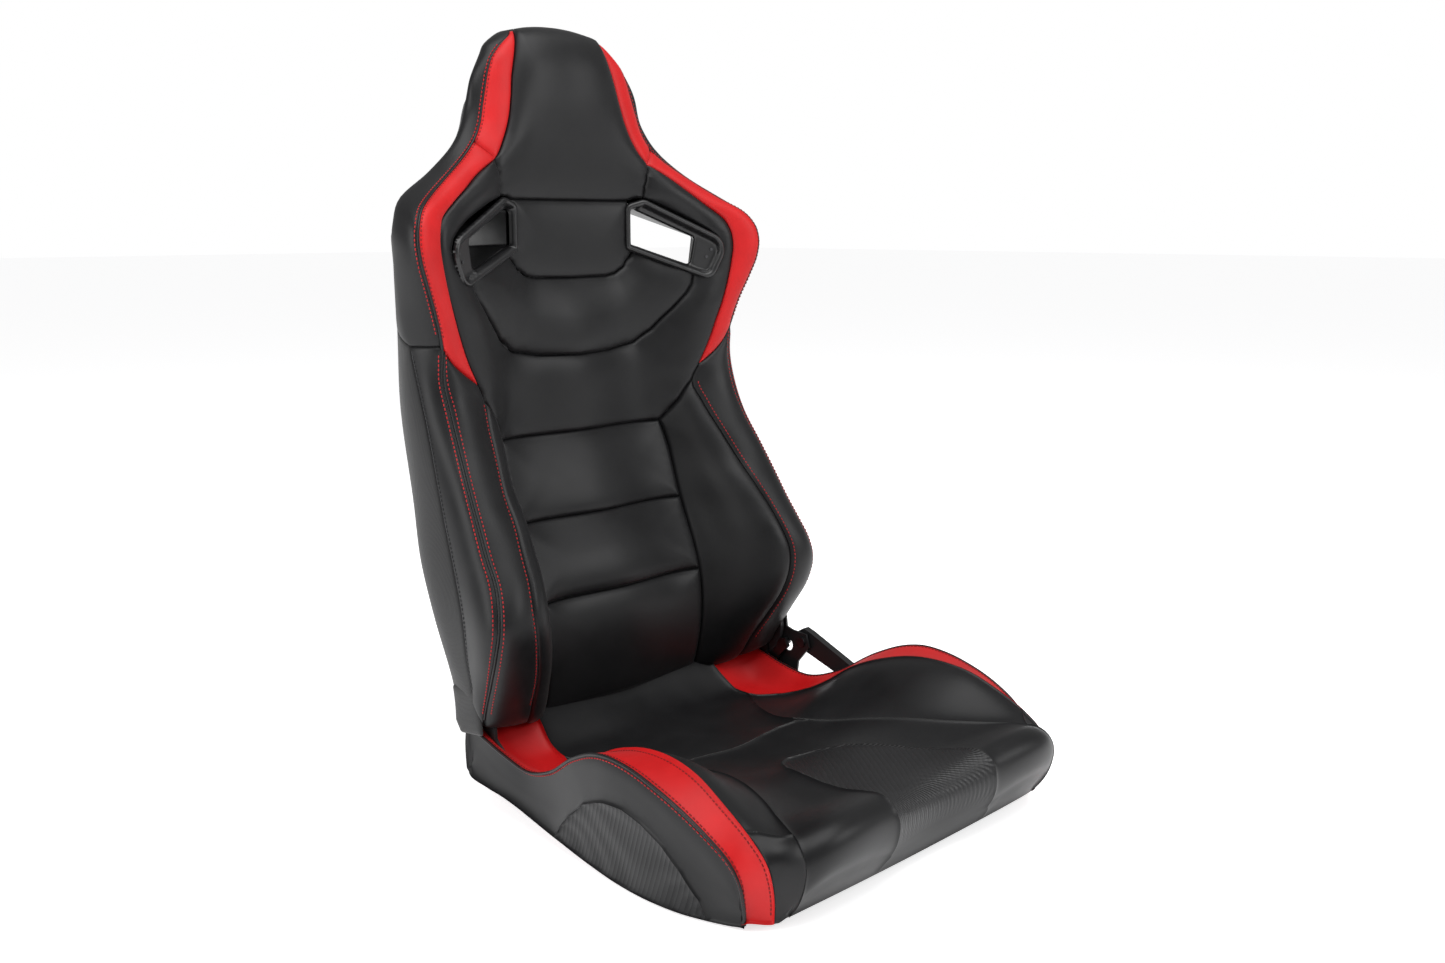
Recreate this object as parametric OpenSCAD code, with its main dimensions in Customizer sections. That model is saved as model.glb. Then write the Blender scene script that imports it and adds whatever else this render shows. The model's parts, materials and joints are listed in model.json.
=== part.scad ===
// Reclining sports seat: cushion on a steel base, backrest with integral head, single-sided recliner.
// +Z is up, the sitter faces -Y and +X is the sitter's left. The origin lies on the floor,
// midway between the four mounting holes. All sizes are in millimetres.

/* [Mounting] */
// Distance between the mounting holes across the seat
mount_x = 370; // [320:5:400]
// Distance between the mounting holes front to rear
mount_y = 290; // [250:5:330]
// Radius of the M8 clearance holes
mount_hole_r = 4.2; // [4:0.1:5.5]

/* [Base frame] */
// Outer face of each base rail, from the middle of the seat
rail_outer = 204; // [200:1:215]
// Height of the base rails
rail_h = 44; // [30:1:50]
// Thickness of the rail steel
rail_t = 3; // [2:0.5:4]
// Length of the rails in front of the origin
rail_front = 190; // [180:1:200]
// Length of the rails behind the origin
rail_rear = 236; // [200:1:245]
// Rear end of the part of each rail that stands on the floor
foot_rear = 165; // [160:1:180]
// Inner face of the cushion's side skirts
skirt_inner = 232.4; // [230:0.2:234]
// Radius of the cross tubes of the base
base_tube_r = 11; // [8:1:14]

/* [Recliner] */
// Distance of the backrest pivot behind the origin
pivot_y = 240; // [220:1:250]
// Height of the backrest pivot
pivot_z = 127; // [110:1:140]
// Radius of the pivot bolts
pivot_r = 8; // [6:0.5:10]
// Radius of the lock rim on the backrest arm
lock_rim_r = 50; // [40:1:54]
// Distance of the lever pivot behind the origin
lever_y = 158; // [150:1:170]
// Height of the lever pivot
lever_z = 110; // [100:1:120]

/* [Backrest frame] */
// Radius of the hoop tube
hoop_r = 11; // [8:1:13]
// Radius of the suspension wires
wire_r = 1.8; // [1.2:0.1:2.5]

/* [Harness openings] */
// Width of the flat collar around each tunnel on the rear face
collar = 12; // [8:1:16]
// Depth of the tunnel behind each bezel
tunnel_depth = 76; // [60:1:85]

/* [Hidden] */
$fn = 48;
gap = 0.4;

// ---- Backrest outline: [height, half-width] and [height, depth] ----

// Depth of the front face on the middle plane
mid_y = [
    [92, 266], [140, 248], [200, 246], [232, 250], [324, 291], [425, 329], [522, 338],
    [620, 348], [720, 350], [780, 344], [850, 342], [905, 350], [930, 360], [945, 366]
];
// Edge of the middle pads
pad_w = [[92, 133], [164, 134], [232, 135], [324, 139], [425, 134], [470, 120], [531, 103], [640, 90.6], [720, 90.6]];
pad_y = [[92, 256], [164, 240], [232, 245], [324, 287], [425, 324], [470, 338], [531, 342], [720, 344]];
// Inner edge of the bolster front, and of the coloured band above it
band_w = [
    [92, 180], [130, 190], [164, 200], [204, 213], [255, 221], [314, 212], [347, 204], [412, 190],
    [479, 178], [500, 188], [558, 215], [616, 234], [663, 242], [695, 233], [729, 188], [749, 160],
    [769, 125], [794, 107], [846, 89], [901, 77], [931, 64], [945, 45]
];
band_y = [
    [92, 222], [130, 198], [164, 178], [204, 158], [240, 152], [286, 166], [347, 208], [412, 258],
    [479, 299], [527, 294], [588, 287], [663, 283], [695, 291], [729, 310], [769, 332], [816, 342],
    [872, 350], [931, 362], [945, 367]
];
// Piping between the front and the side
piping_w = [
    [92, 246], [130, 252], [166, 261], [209, 270], [242, 270], [289, 260], [353, 253], [433, 242],
    [506, 241], [558, 243], [588, 253], [618, 266], [646, 277], [682, 280], [707, 264], [740, 210],
    [778, 157], [811, 132], [857, 120], [901, 105], [927, 84], [945, 52]
];
piping_y = [
    [92, 236], [130, 214], [166, 190], [209, 165], [242, 157], [268, 163], [317, 193], [393, 240],
    [433, 265], [506, 294], [558, 290], [618, 278], [671, 274], [707, 288], [740, 322], [778, 346],
    [857, 359], [927, 364], [945, 368]
];
// Widest line of the side
side_w = [
    [92, 252], [140, 258], [209, 274], [242, 275], [289, 268], [353, 262], [433, 258], [483, 258],
    [558, 262], [618, 274], [682, 284], [707, 272], [740, 220], [778, 168], [811, 142], [857, 130],
    [901, 116], [927, 96], [945, 60]
];
// Depth of the rear edge of the side, and of the rear face on the middle plane
edge_y = [
    [92, 292], [150, 300], [239, 325], [363, 368], [483, 392], [562, 384], [640, 362], [706, 360],
    [748, 380], [797, 392], [880, 408], [927, 412], [945, 408]
];
rear_y = [
    [92, 308], [150, 316], [239, 336], [363, 376], [483, 406], [562, 412], [700, 416], [800, 418],
    [900, 424], [927, 420], [945, 412]
];
// Depth of the frame behind the middle pads
frame_y = [[92, 286], [150, 293], [239, 312], [363, 350], [483, 384], [562, 390], [720, 392], [945, 396]];

bolster_heights = [106, 130, 164, 204, 232, 268, 324, 353, 393, 425, 470, 506, 531, 540];
shoulder_heights = [541, 558, 588, 618, 640, 682, 707, 720, 745, 769, 786];
pad_heights = [94, 164, 200, 232, 324, 425, 470, 531, 640, 719];
head_heights = [722, 745, 769, 786, 794, 820, 857, 880, 901, 915, 927, 945];
shell_heights = [
    134, 166, 209, 242, 289, 353, 412, 433, 483, 506, 540, 562, 588, 618, 646, 682, 707, 724, 740,
    769, 794, 811, 857, 880, 901, 915, 927, 940
];

// Half-width of the head pad where it meets the shoulders, and depth of its rear corner
head_w = [[720, 108], [745, 112], [769, 125], [786, 150], [794, 160]];
head_edge_y = [[720, 400], [745, 400], [769, 386], [797, 392], [880, 408], [927, 412], [945, 408]];

// ---- Cushion outline: [distance behind the origin, half-width] and [..., height] ----

centre_w = [[-266, 214], [-232, 208], [-170, 196], [-60, 145], [30, 98], [120, 100], [262, 150]];
centre_z = [[-266, 92], [-252, 103], [-195, 100], [-120, 90], [-38, 72], [45, 64], [120, 66], [262, 84]];
seat_band_w = [[-228, 244], [-168, 248], [-60, 240], [0, 228], [60, 205], [110, 205], [262, 205]];
seat_band_z = [
    [-228, 92], [-200, 118], [-168, 138], [-110, 151], [-60, 150], [0, 138], [63, 97],
    [110, 72], [150, 68], [262, 84]
];
seat_piping_w = [
    [-224, 258], [-205, 270], [-177, 275], [-139, 274], [-96, 270], [-47, 262], [3, 252],
    [63, 240], [110, 234.6], [226, 234.6]
];
seat_piping_z = [
    [-224, 72], [-205, 85], [-177, 104], [-139, 120], [-96, 134], [-47, 138], [3, 134],
    [63, 104], [110, 74], [150, 68], [200, 76], [226, 80]
];
side_low_z = [[-224, 10], [-170, 1], [-50, 2], [6, 10], [63, 14], [120, 47], [226, 47]];
seat_stations = [226, 200, 150, 120, 63, 30, 3, -60, -96, -139, -170, -205, -224];
pad_stations = [226, 180, 120, 45, 30, -38, -60, -120, -170, -195, -232];

// ---- Small helpers ----

function flat(lists) = [for (list = lists) for (item = list) item];

// Closed solid through a stack of rings. Seen from the last ring, each ring runs anticlockwise.
module loft(rings) {
    n = len(rings[0]);
    last = len(rings) - 1;
    walls = flat([
        for (j = [0 : last - 1], i = [0 : n - 1])
            let (k = (i + 1) % n)
            [
                [j * n + i, (j + 1) * n + i, (j + 1) * n + k],
                [j * n + i, (j + 1) * n + k, j * n + k]
            ]
    ]);
    first_cap = [[for (i = [0 : n - 1]) i]];
    last_cap = [[for (i = [n - 1 : -1 : 0]) last * n + i]];
    polyhedron(points = flat(rings), faces = concat(first_cap, walls, last_cap), convexity = 6);
}

// Round bar from one point to another
module rod(a, b, r) {
    d = b - a;
    translate(a)
        rotate([0, acos(d.z / norm(d)), atan2(d.y, d.x)])
            cylinder(r = r, h = norm(d));
}

// Sixteen-sided bent tube through a list of points that runs roughly in the XZ plane
module bent_tube(path, r) {
    last = len(path) - 1;
    rings = [
        for (i = [0 : last])
            let (
                run = path[min(i + 1, last)] - path[max(i - 1, 0)],
                d = run / norm(run),
                side = cross([0, 1, 0], d),
                n1 = side / norm(side),
                n2 = cross(d, n1)
            )
            [for (a = [0 : 22.5 : 337.5]) path[i] + r * (cos(a) * n1 + sin(a) * n2)]
    ];
    loft(rings);
}

// Plate in the YZ plane, from x0 to x1, holding its 2-D outline in (y, z)
module yz_plate(x0, x1) {
    translate([x0, 0, 0])
        rotate([90, 0, 90])
            linear_extrude(x1 - x0)
                children();
}

// Round bar along X
module x_bar(x0, x1, y, z, r) {
    translate([x0, y, z])
        rotate([0, 90, 0])
            cylinder(r = r, h = x1 - x0);
}

// Hexagon head along X
module x_hex(x0, x1, y, z, across) {
    translate([x0, y, z])
        rotate([0, 90, 0])
            cylinder(r = across / sqrt(3), h = x1 - x0, $fn = 6);
}

// Polygon corners rounded by arcs: each corner is [u, v, radius]
function corner_arc(p, c, q, r, steps = 5) =
    let (
        u = (p - c) / norm(p - c),
        v = (q - c) / norm(q - c),
        half = acos(u * v) / 2,
        mid = (u + v) / norm(u + v),
        centre = c + mid * r / sin(half),
        a = c + u * r / tan(half) - centre,
        b = c + v * r / tan(half) - centre,
        a0 = atan2(a.y, a.x),
        turn = (atan2(b.y, b.x) - a0 + 540) % 360 - 180
    )
    [for (i = [0 : steps]) centre + r * [cos(a0 + turn * i / steps), sin(a0 + turn * i / steps)]];

function rounded(corners) =
    let (n = len(corners), xy = [for (c = corners) [c[0], c[1]]])
    flat([for (i = [0 : n - 1]) corner_arc(xy[(i + n - 1) % n], xy[i], xy[(i + 1) % n], corners[i][2])]);

module mirrored_left() {
    mirror([1, 0, 0])
        children();
}

// ---- Base frame ----

// Pressed rail: upright web with a foot flange that carries the mounting holes, raised at the rear
module rail() {
    flange = 38;
    difference() {
        union() {
            yz_plate(rail_outer - rail_t, rail_outer)
                polygon([
                    [-rail_front, 0], [foot_rear, 0], [foot_rear + 12, 20],
                    [rail_rear, 24], [rail_rear, rail_h], [-rail_front, rail_h]
                ]);
            translate([rail_outer - flange, -rail_front, 0])
                cube([flange, rail_front + foot_rear, rail_t]);
            translate([rail_outer - 18, -rail_front, rail_h - rail_t])
                cube([18, rail_front + rail_rear, rail_t]);
        }
        for (y = [-mount_y / 2, mount_y / 2])
            translate([mount_x / 2, y, -1])
                cylinder(r = mount_hole_r, h = rail_t + 2);
        for (p = bracket_bolt_places)
            x_bar(rail_outer - rail_t - 1, rail_outer + 1, p.x, p.y, 4.1);
    }
}

// Bolts that hold the recliner plate and the hinge plate on the rails: distance behind the origin, height
bracket_bolt_places = [[152, 31], [222, 34]];

module base_rail_right() {
    color("dimgray")
        rail();
}

module base_rail_left() {
    color("dimgray")
        mirrored_left()
            rail();
}

module base_tube_front() {
    color("gray")
        x_bar(rail_t - rail_outer, rail_outer - rail_t, -170, 28, base_tube_r);
}

module base_tube_rear() {
    color("gray")
        x_bar(rail_t - rail_outer, rail_outer - rail_t, 200, 28, base_tube_r);
}

// Nuts welded on the rail flanges above the mounting holes
module mount_nuts() {
    color("silver")
        for (x = [-mount_x / 2, mount_x / 2], y = [-mount_y / 2, mount_y / 2])
            translate([x, y, rail_t])
                difference() {
                    cylinder(r = 13 / sqrt(3), h = 6.5, $fn = 6);
                    translate([0, 0, -1])
                        cylinder(r = mount_hole_r, h = 9);
                }
}

// Pressed pan under the thighs
module thigh_pan() {
    color("dimgray")
        translate([-180, -228, 41])
            cube([360, 120, 2]);
}

// Suspension wires between the thigh pan and the rear cross tube
module seat_wires() {
    color("silver")
        for (x = [-120, -60, 0, 60, 120])
            rod([x, -107.8, 42.2], [x, 208, 42.2], wire_r);
}

// ---- Cushion ----

pad_low = 46;

module cushion_pad() {
    rings = [
        for (y = pad_stations)
            let (w = lookup(y, centre_w) - gap, z = lookup(y, centre_z))
            [[-w, y, pad_low], [w, y, pad_low], [w, y, z + 4], [w / 2, y, z], [-w / 2, y, z], [-w, y, z + 4]]
    ];
    front_face = rounded([[-266, 23, 6], [-231, 23, 3], [-231, 100, 2], [-266, 106, 18]]);
    color("dimgray") {
        loft(rings);
        yz_plate(-213, 213)
            polygon(front_face);
    }
}

// Thigh bolster with the side panel below it
function seat_bolster_ring(y) =
    let (
        w0 = lookup(y, centre_w) + gap,
        z0 = lookup(y, centre_z) + 4,
        w2 = lookup(y, seat_piping_w),
        z2 = lookup(y, seat_piping_z),
        low = lookup(y, side_low_z)
    )
    [
        [w0, y, pad_low],
        [skirt_inner, y, pad_low],
        [skirt_inner, y, low],
        [w2 - 1, y, low],
        [w2 + 1, y, (low + z2) / 2],
        [w2, y, z2],
        [min(lookup(y, seat_band_w), w2 - 6), y, max(lookup(y, seat_band_z), 66)],
        [w0, y, max(z0, 62)]
    ];

module cushion_bolster() {
    loft([for (y = seat_stations) seat_bolster_ring(y)]);
}

module cushion_bolster_right() {
    color("firebrick")
        cushion_bolster();
}

module cushion_bolster_left() {
    color("firebrick")
        mirrored_left()
            cushion_bolster();
}

// ---- Recliner, right-hand plates are on the +X side ----

module foot_outline() {
    difference() {
        polygon(concat(
            [[128, 20], [250, 26], [262, 60]],
            [for (a = [0 : 15 : 180]) [pivot_y + 26 * cos(a), pivot_z + 26 * sin(a)]],
            [[212, 84], [188, 66], [128, 42]]
        ));
        for (p = bracket_bolt_places)
            translate(p)
                circle(r = 4.1);
        translate([pivot_y, pivot_z])
            circle(r = pivot_r + 0.05);
    }
}

module recliner_plate_right() {
    color("black")
        difference() {
            yz_plate(236, 241)
                foot_outline();
            for (p = stud_places)
                x_bar(235, 242, p.x, p.y, 4.05);
            x_bar(235, 242, pawl_place.x, pawl_place.y, 4.05);
        }
}

stud_places = [[196, 44], [252, 66]];
pawl_place = [226, 69];

module hinge_plate_left() {
    color("black")
        yz_plate(-240, -236)
            foot_outline();
}

// Outer plate that carries the pawl and the lever
module recliner_cage_right() {
    color("black")
        difference() {
            yz_plate(250, 253)
                polygon(concat(
                    [[170, 36], [205, 34], [262, 58]],
                    [for (a = [-30 : 15 : 180]) [pivot_y + 54 * cos(a), pivot_z + 54 * sin(a)]],
                    [[176, 124], [150, 122], [144, 104], [164, 80]]
                ));
            for (p = stud_places)
                x_bar(249, 254, p.x, p.y, 4.05);
            x_bar(249, 254, pawl_place.x, pawl_place.y, 4.05);
            x_bar(249, 254, lever_y, lever_z, 4.05);
            x_bar(249, 254, release_place.x - 2.5, release_place.y - 3, 9);
            x_bar(249, 254, pivot_y, pivot_z, pivot_r + 0.05);
        }
}

// Distance studs between the recliner plate and the cage
module cage_studs() {
    color("silver")
        for (p = stud_places) {
            x_bar(236.5, 253.1, p.x, p.y, 4);
            difference() {
                x_bar(241.1, 249.9, p.x, p.y, 7);
                x_bar(236, 256, p.x, p.y, 4);
            }
            x_hex(253.1, 258, p.x, p.y, 13);
        }
}

module pawl_pin() {
    color("silver")
        x_bar(236.5, 255, pawl_place.x, pawl_place.y, 4);
}

module lever_pin() {
    color("silver") {
        x_bar(247, 249.9, lever_y, lever_z, 7);
        x_bar(249.9, 263, lever_y, lever_z, 4);
        x_bar(263, 266, lever_y, lever_z, 7);
    }
}

module pivot_bolt_right() {
    color("silver") {
        x_bar(234, 257, pivot_y, pivot_z, pivot_r);
        x_hex(257, 264, pivot_y, pivot_z, 22);
    }
}

module pivot_bolt_left() {
    color("silver") {
        x_bar(-249, -234, pivot_y, pivot_z, pivot_r);
        x_hex(-253, -249, pivot_y, pivot_z, 20);
    }
}

module bracket_bolts() {
    color("silver")
        for (p = bracket_bolt_places) {
            x_bar(rail_outer - 8, 242, p.x, p.y, 4);
            x_hex(241.1, 247, p.x, p.y, 13);
            x_bar(-241, 8 - rail_outer, p.x, p.y, 4);
            x_hex(-245, -240.1, p.x, p.y, 13);
        }
}

module bracket_spacers() {
    color("silver")
        for (side = [0, 1], p = bracket_bolt_places)
            mirror([side, 0, 0])
                difference() {
                    x_bar(rail_outer, 236, p.x, p.y, 9);
                    x_bar(rail_outer - 1, 237, p.x, p.y, 4.1);
                }
}

// Flat spiral that pulls the backrest forward, from the pivot bolt out to the hook on the arm
module return_spring() {
    turns = 2.25;
    steps = 54;
    inner = 13;
    pitch = 4.6;
    half_band = 1;
    coil = [
        for (i = [0 : steps])
            let (a = 90 + 360 * turns * (1 - i / steps), r = inner + pitch * turns * i / steps)
            [pivot_y + r * cos(a), pivot_z + r * sin(a)]
    ];
    line = concat(coil, [[256, 157], [264, 168], [263, 182], [268, 187], [275, 186]]);
    last = len(line) - 1;
    function edge(i, d) =
        let (run = line[min(i + 1, last)] - line[max(i - 1, 0)])
        line[i] + d * [run.y, -run.x] / norm(run);
    color("silver")
        yz_plate(254, 257)
            polygon(concat(
                [for (i = [0 : last]) edge(i, half_band)],
                [for (i = [last : -1 : 0]) edge(i, -half_band)]
            ));
}

// ---- Lever ----

module lever_arm() {
    color("black")
        difference() {
            union() {
                yz_plate(256, 259)
                    polygon([[170, 122], [160, 128], [148, 124], [64, 88], [64, 70], [96, 75], [146, 92], [172, 100]]);
                yz_plate(259, 267)
                    polygon([[160, 128], [148, 124], [64, 88], [64, 85], [149, 120.8], [161, 125]]);
            }
            x_bar(255, 268, lever_y, lever_z, 4.05);
        }
}

module lever_grip() {
    color("black")
        yz_plate(267, 280)
            polygon(rounded([[78, 90, 4], [78, 73, 4], [-10, 34, 8], [-38, 32, 8], [-34, 56, 10], [20, 70, 30]]));
}

// Tab on the lever that presses on the release pin
module lever_link() {
    color("black")
        difference() {
            yz_plate(253.4, 256)
                polygon([[148, 106], [158, 101], [178, 107.3], [192, 107.3], [190, 113], [160, 120]]);
            x_bar(253, 257, lever_y, lever_z, 4.05);
        }
}

release_place = [186, 104];

// Smooth locking shoe, close to the rim of the backrest arm
module pawl() {
    shoe_r = lock_rim_r + 0.4;
    color("gray")
        difference() {
            yz_plate(242, 248)
                polygon([
                    [220, 60], [233, 62], [235, 74], [215, 84], [204, 96],
                    [194, 110], [182, 112], [178, 100], [190, 88], [204, 72]
                ]);
            x_bar(241, 249, pivot_y, pivot_z, shoe_r);
            x_bar(241, 249, pawl_place.x, pawl_place.y, 4.05);
            x_bar(241, 249, release_place.x, release_place.y, 3);
        }
}

// Pin on the tail of the pawl, reaching out through the cage to the lever
module release_pin() {
    color("silver")
        x_bar(242, 256, release_place.x, release_place.y, 3);
}

// ---- Backrest frame ----

arm_bolt_places = [[284, 182], [293, 222]];

module arm_outline(rim) {
    difference() {
        union() {
            translate([pivot_y, pivot_z])
                circle(r = rim);
            polygon([[232, 127], [258, 98], [274, 128], [306, 236], [282, 240], [256, 176]]);
        }
        translate([pivot_y, pivot_z])
            circle(r = pivot_r + 0.05);
        for (p = arm_bolt_places)
            translate(p)
                circle(r = 4.1);
    }
}

module recliner_arm_right() {
    color("dimgray")
        yz_plate(242, 248)
            arm_outline(lock_rim_r);
}

module hinge_arm_left() {
    color("dimgray")
        yz_plate(-246, -241)
            arm_outline(30);
}

// Hook that holds the outer end of the return spring
module spring_hook() {
    color("silver")
        x_bar(248, 257.5, pivot_y + 30, pivot_z + 54, 3.5);
}

module upright() {
    difference() {
        yz_plate(221, 241)
            polygon([[265.6, 148], [287.6, 148], [315.3, 249.2], [293.2, 249.2]]);
        for (p = arm_bolt_places)
            x_bar(220, 242, p.x, p.y, 4.1);
    }
}

module upright_right() {
    color("gray")
        upright();
}

module upright_left() {
    color("gray")
        mirrored_left()
            upright();
}

module arm_bolts() {
    color("silver")
        for (p = arm_bolt_places) {
            x_bar(221.4, 248, p.x, p.y, 4);
            x_hex(248, 252, p.x, p.y, 13);
            x_bar(-246, -221.4, p.x, p.y, 4);
            x_hex(-250, -246, p.x, p.y, 13);
        }
}

half_hoop = [
    [231, 308, 253], [227, 346, 370], [224, 374, 480], [234, 346, 580], [250, 320, 664],
    [228, 326, 708], [166, 358, 746], [112, 374, 790], [88, 386, 850], [64, 390, 892]
];
hoop_path = concat(half_hoop, [for (i = [len(half_hoop) - 1 : -1 : 0]) [-half_hoop[i].x, half_hoop[i].y, half_hoop[i].z]]);

module back_hoop() {
    color("gray")
        bent_tube(hoop_path, hoop_r);
}

module cross_tube_low() {
    color("gray")
        x_bar(-221, 221, 296, 180, 9);
}

module cross_tube_waist() {
    color("gray")
        x_bar(-213, 213, 373, 478, 9);
}

module cross_tube_neck() {
    color("gray")
        x_bar(-95, 95, 375, 792, 8);
}

// Suspension wires across the frame
back_wire_places = [[219, 311, 262], [217, 334, 330], [214, 353, 400]];
neck_wire_places = [-60, 0, 60];

module back_wires() {
    color("silver")
        for (p = back_wire_places)
            x_bar(-p.x, p.x, p.y, p.z, wire_r);
}

// Upright wires between the waist tube and the neck tube
module neck_wires() {
    color("silver")
        for (x = neck_wire_places)
            rod([x, 381, 483], [x, 381, 786], wire_r);
}

// ---- Backrest padding ----

module back_pad() {
    rings = [
        for (z = pad_heights)
            let (
                w = lookup(z, pad_w) - gap,
                back = lookup(z, frame_y) - hoop_r - 2.6,
                front = lookup(z, mid_y),
                side = lookup(z, pad_y)
            )
            [[-w, side, z], [-w / 2, front, z], [w / 2, front, z], [w, side, z], [w, back, z], [-w, back, z]]
    ];
    color("dimgray")
        difference() {
            loft(rings);
            tube_channels();
        }
}

// Eight-sided channel along the hoop, long enough at each bend to clear the tube
module hoop_channel() {
    for (i = [0 : len(hoop_path) - 2]) {
        a = hoop_path[i];
        b = hoop_path[i + 1];
        u = (b - a) / norm(b - a);
        rod(a - u * 5, b + u * 5, (hoop_r + 1) / cos(22.5), $fn = 8);
    }
}

// Square channel across the padding for a wire or a cross tube
module cross_channel(y, z, r) {
    translate([-300, y - r, z - r])
        cube([600, 2 * r, 2 * r]);
}

module wire_channels() {
    for (p = back_wire_places)
        cross_channel(p.y, p.z, wire_r + 0.5);
}

module tube_channels() {
    cross_channel(296, 180, 9.6);
    cross_channel(373, 478, 9.6);
}

// Room in the padding for the frame
module frame_channels() {
    hoop_channel();
    wire_channels();
    tube_channels();
    for (side = [0, 1])
        mirror([side, 0, 0])
            yz_plate(218, 258)
                polygon([[180, 60], [306, 60], [310, 130], [324, 255], [276, 256], [252, 196], [180, 176]]);
}

// Room outside the padding for the recliner, on both sides of the seat
module recliner_room() {
    for (side = [0, 1])
        mirror([side, 0, 0])
            translate([218, 100, 60])
                cube([80, 230, 123]);
}

// Half of the backrest between two lines, at one height
function half_ring(z, w0, y0, back) =
    let (w = lookup(z, side_w), edge = lookup(z, edge_y) - 8)
    [
        [w0, y0, z],
        [lookup(z, band_w), lookup(z, band_y), z],
        [lookup(z, piping_w), lookup(z, piping_y), z],
        [w, lookup(z, piping_y) + 28, z],
        [w, edge - 26, z],
        [w - 26, edge, z],
        [w0, back, z]
    ];

module bolster() {
    difference() {
        loft([
            for (z = bolster_heights)
                half_ring(z, lookup(z, pad_w) + gap, lookup(z, pad_y), lookup(z, rear_y) - 8)
        ]);
        frame_channels();
        recliner_room();
    }
}

module back_bolster_right() {
    color("dimgray")
        bolster();
}

module back_bolster_left() {
    color("dimgray")
        mirrored_left()
            bolster();
}

function shoulder_inner(z) = z < 720 ? lookup(z, pad_w) + gap : lookup(z, head_w) + gap;
function shoulder_front(z) = z < 720 ? lookup(z, pad_y) : lookup(z, band_y) + 8;

// Half of the backrest through a shoulder, kept outside its inner edge where the shoulder narrows
function shoulder_ring(z) =
    let (
        w0 = shoulder_inner(z),
        w1 = max(lookup(z, band_w), w0 + 2),
        w2 = max(lookup(z, piping_w), w0 + 6),
        w3 = max(lookup(z, side_w), w0 + 12),
        edge = lookup(z, edge_y) - 8
    )
    [
        [w0, shoulder_front(z), z],
        [w1, lookup(z, band_y), z],
        [w2, lookup(z, piping_y), z],
        [w3, lookup(z, piping_y) + 28, z],
        [w3, edge - 20, z],
        [max(w3 - 26, w0 + 4), edge, z],
        [w0, lookup(z, rear_y) - 8, z]
    ];

module shoulder() {
    difference() {
        loft([for (z = shoulder_heights) shoulder_ring(z)]);
        hoop_channel();
        wire_channels();
        in_bezel_plane() {
            translate([0, 0, -30])
                linear_extrude(44)
                    polygon(bezel_outline(0.4));
            tunnel_solid(3.4);
        }
    }
}

module shoulder_right() {
    color("firebrick")
        shoulder();
}

module shoulder_left() {
    color("firebrick")
        mirrored_left()
            shoulder();
}

module head_pad() {
    rings = [
        for (z = head_heights)
            let (
                limit = z < 792 ? lookup(z, head_w) - gap : 400,
                side = min(lookup(z, side_w), limit),
                pipe = min(lookup(z, piping_w), limit - 2),
                band = min(lookup(z, band_w), limit - 4),
                edge = lookup(z, head_edge_y),
                rear = lookup(z, rear_y) - 8,
                front = lookup(z, mid_y),
                pipe_y = max(lookup(z, piping_y), front - 8),
                bend_y = max(lookup(z, band_y), front - 12),
                side_y = min(pipe_y + 14, edge - 38)
            )
            [
                [-side + 14.5, edge - 14.5, z],
                [-side + 5, edge - 31, z],
                [-side, edge - 34, z],
                [-side, side_y, z],
                [-pipe, pipe_y, z],
                [-band, bend_y, z],
                [-band / 2, front, z],
                [band / 2, front, z],
                [band, bend_y, z],
                [pipe, pipe_y, z],
                [side, side_y, z],
                [side, edge - 34, z],
                [side - 5, edge - 31, z],
                [side - 14.5, edge - 14.5, z],
                [side - 33, edge - 7.5, z],
                [side * 0.4, rear, z],
                [-side * 0.4, rear, z],
                [-side + 33, edge - 7.5, z]
            ]
    ];
    color("dimgray")
        difference() {
            loft(rings);
            hoop_channel();
            cross_channel(375, 792, 8.6);
            for (x = neck_wire_places)
                translate([x - 2.3, 378.7, 700])
                    cube([4.6, 4.6, 95]);
        }
}

// ---- Rear shell, skirts ----

function rear_arc(z, inset) =
    let (w = lookup(z, side_w) - inset * 0.6, edge = lookup(z, edge_y) - inset, rear = lookup(z, rear_y) - inset)
    [
        [-w, edge - 24, z], [-w + 9, edge - 7, z], [-w + 28, edge, z], [-w * 0.5, rear, z],
        [w * 0.5, rear, z], [w - 28, edge, z], [w - 9, edge - 7, z], [w, edge - 24, z]
    ];

module back_shell() {
    color("black")
        difference() {
            loft([
                for (z = shell_heights)
                    let (outer = rear_arc(z, 0), inner = rear_arc(z, 4.5))
                    concat([for (i = [0 : 7]) inner[i]], [for (i = [7 : -1 : 0]) outer[i]])
            ]);
            for (side = [0, 1])
                mirror([side, 0, 0])
                    tunnel_room();
            x_bar(241.4, 290, pivot_y, pivot_z, lock_rim_r + 6);
        }
}

// Skirt below the side of the shell, outside the plain hinge
module back_skirt() {
    color("black")
        yz_plate(-256.5, -254)
            polygon([[232, 134], [273, 134], [284, 96], [276, 86], [234, 90]]);
}

// ---- Harness openings ----

bezel_corner = [92, 344, 0];
bezel_turn = -23;

// Local plane of the right bezel: x along the bezel, y up, z into the backrest
module in_bezel_plane() {
    translate(bezel_corner)
        rotate([0, 0, bezel_turn])
            rotate([-90, 0, 0])
                mirror([0, 1, 0])
                    children();
}

function grown(corners, d) = [for (c = corners) [c[0] + d * c[3], c[1] + d * c[4], c[2] + d]];

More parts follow.
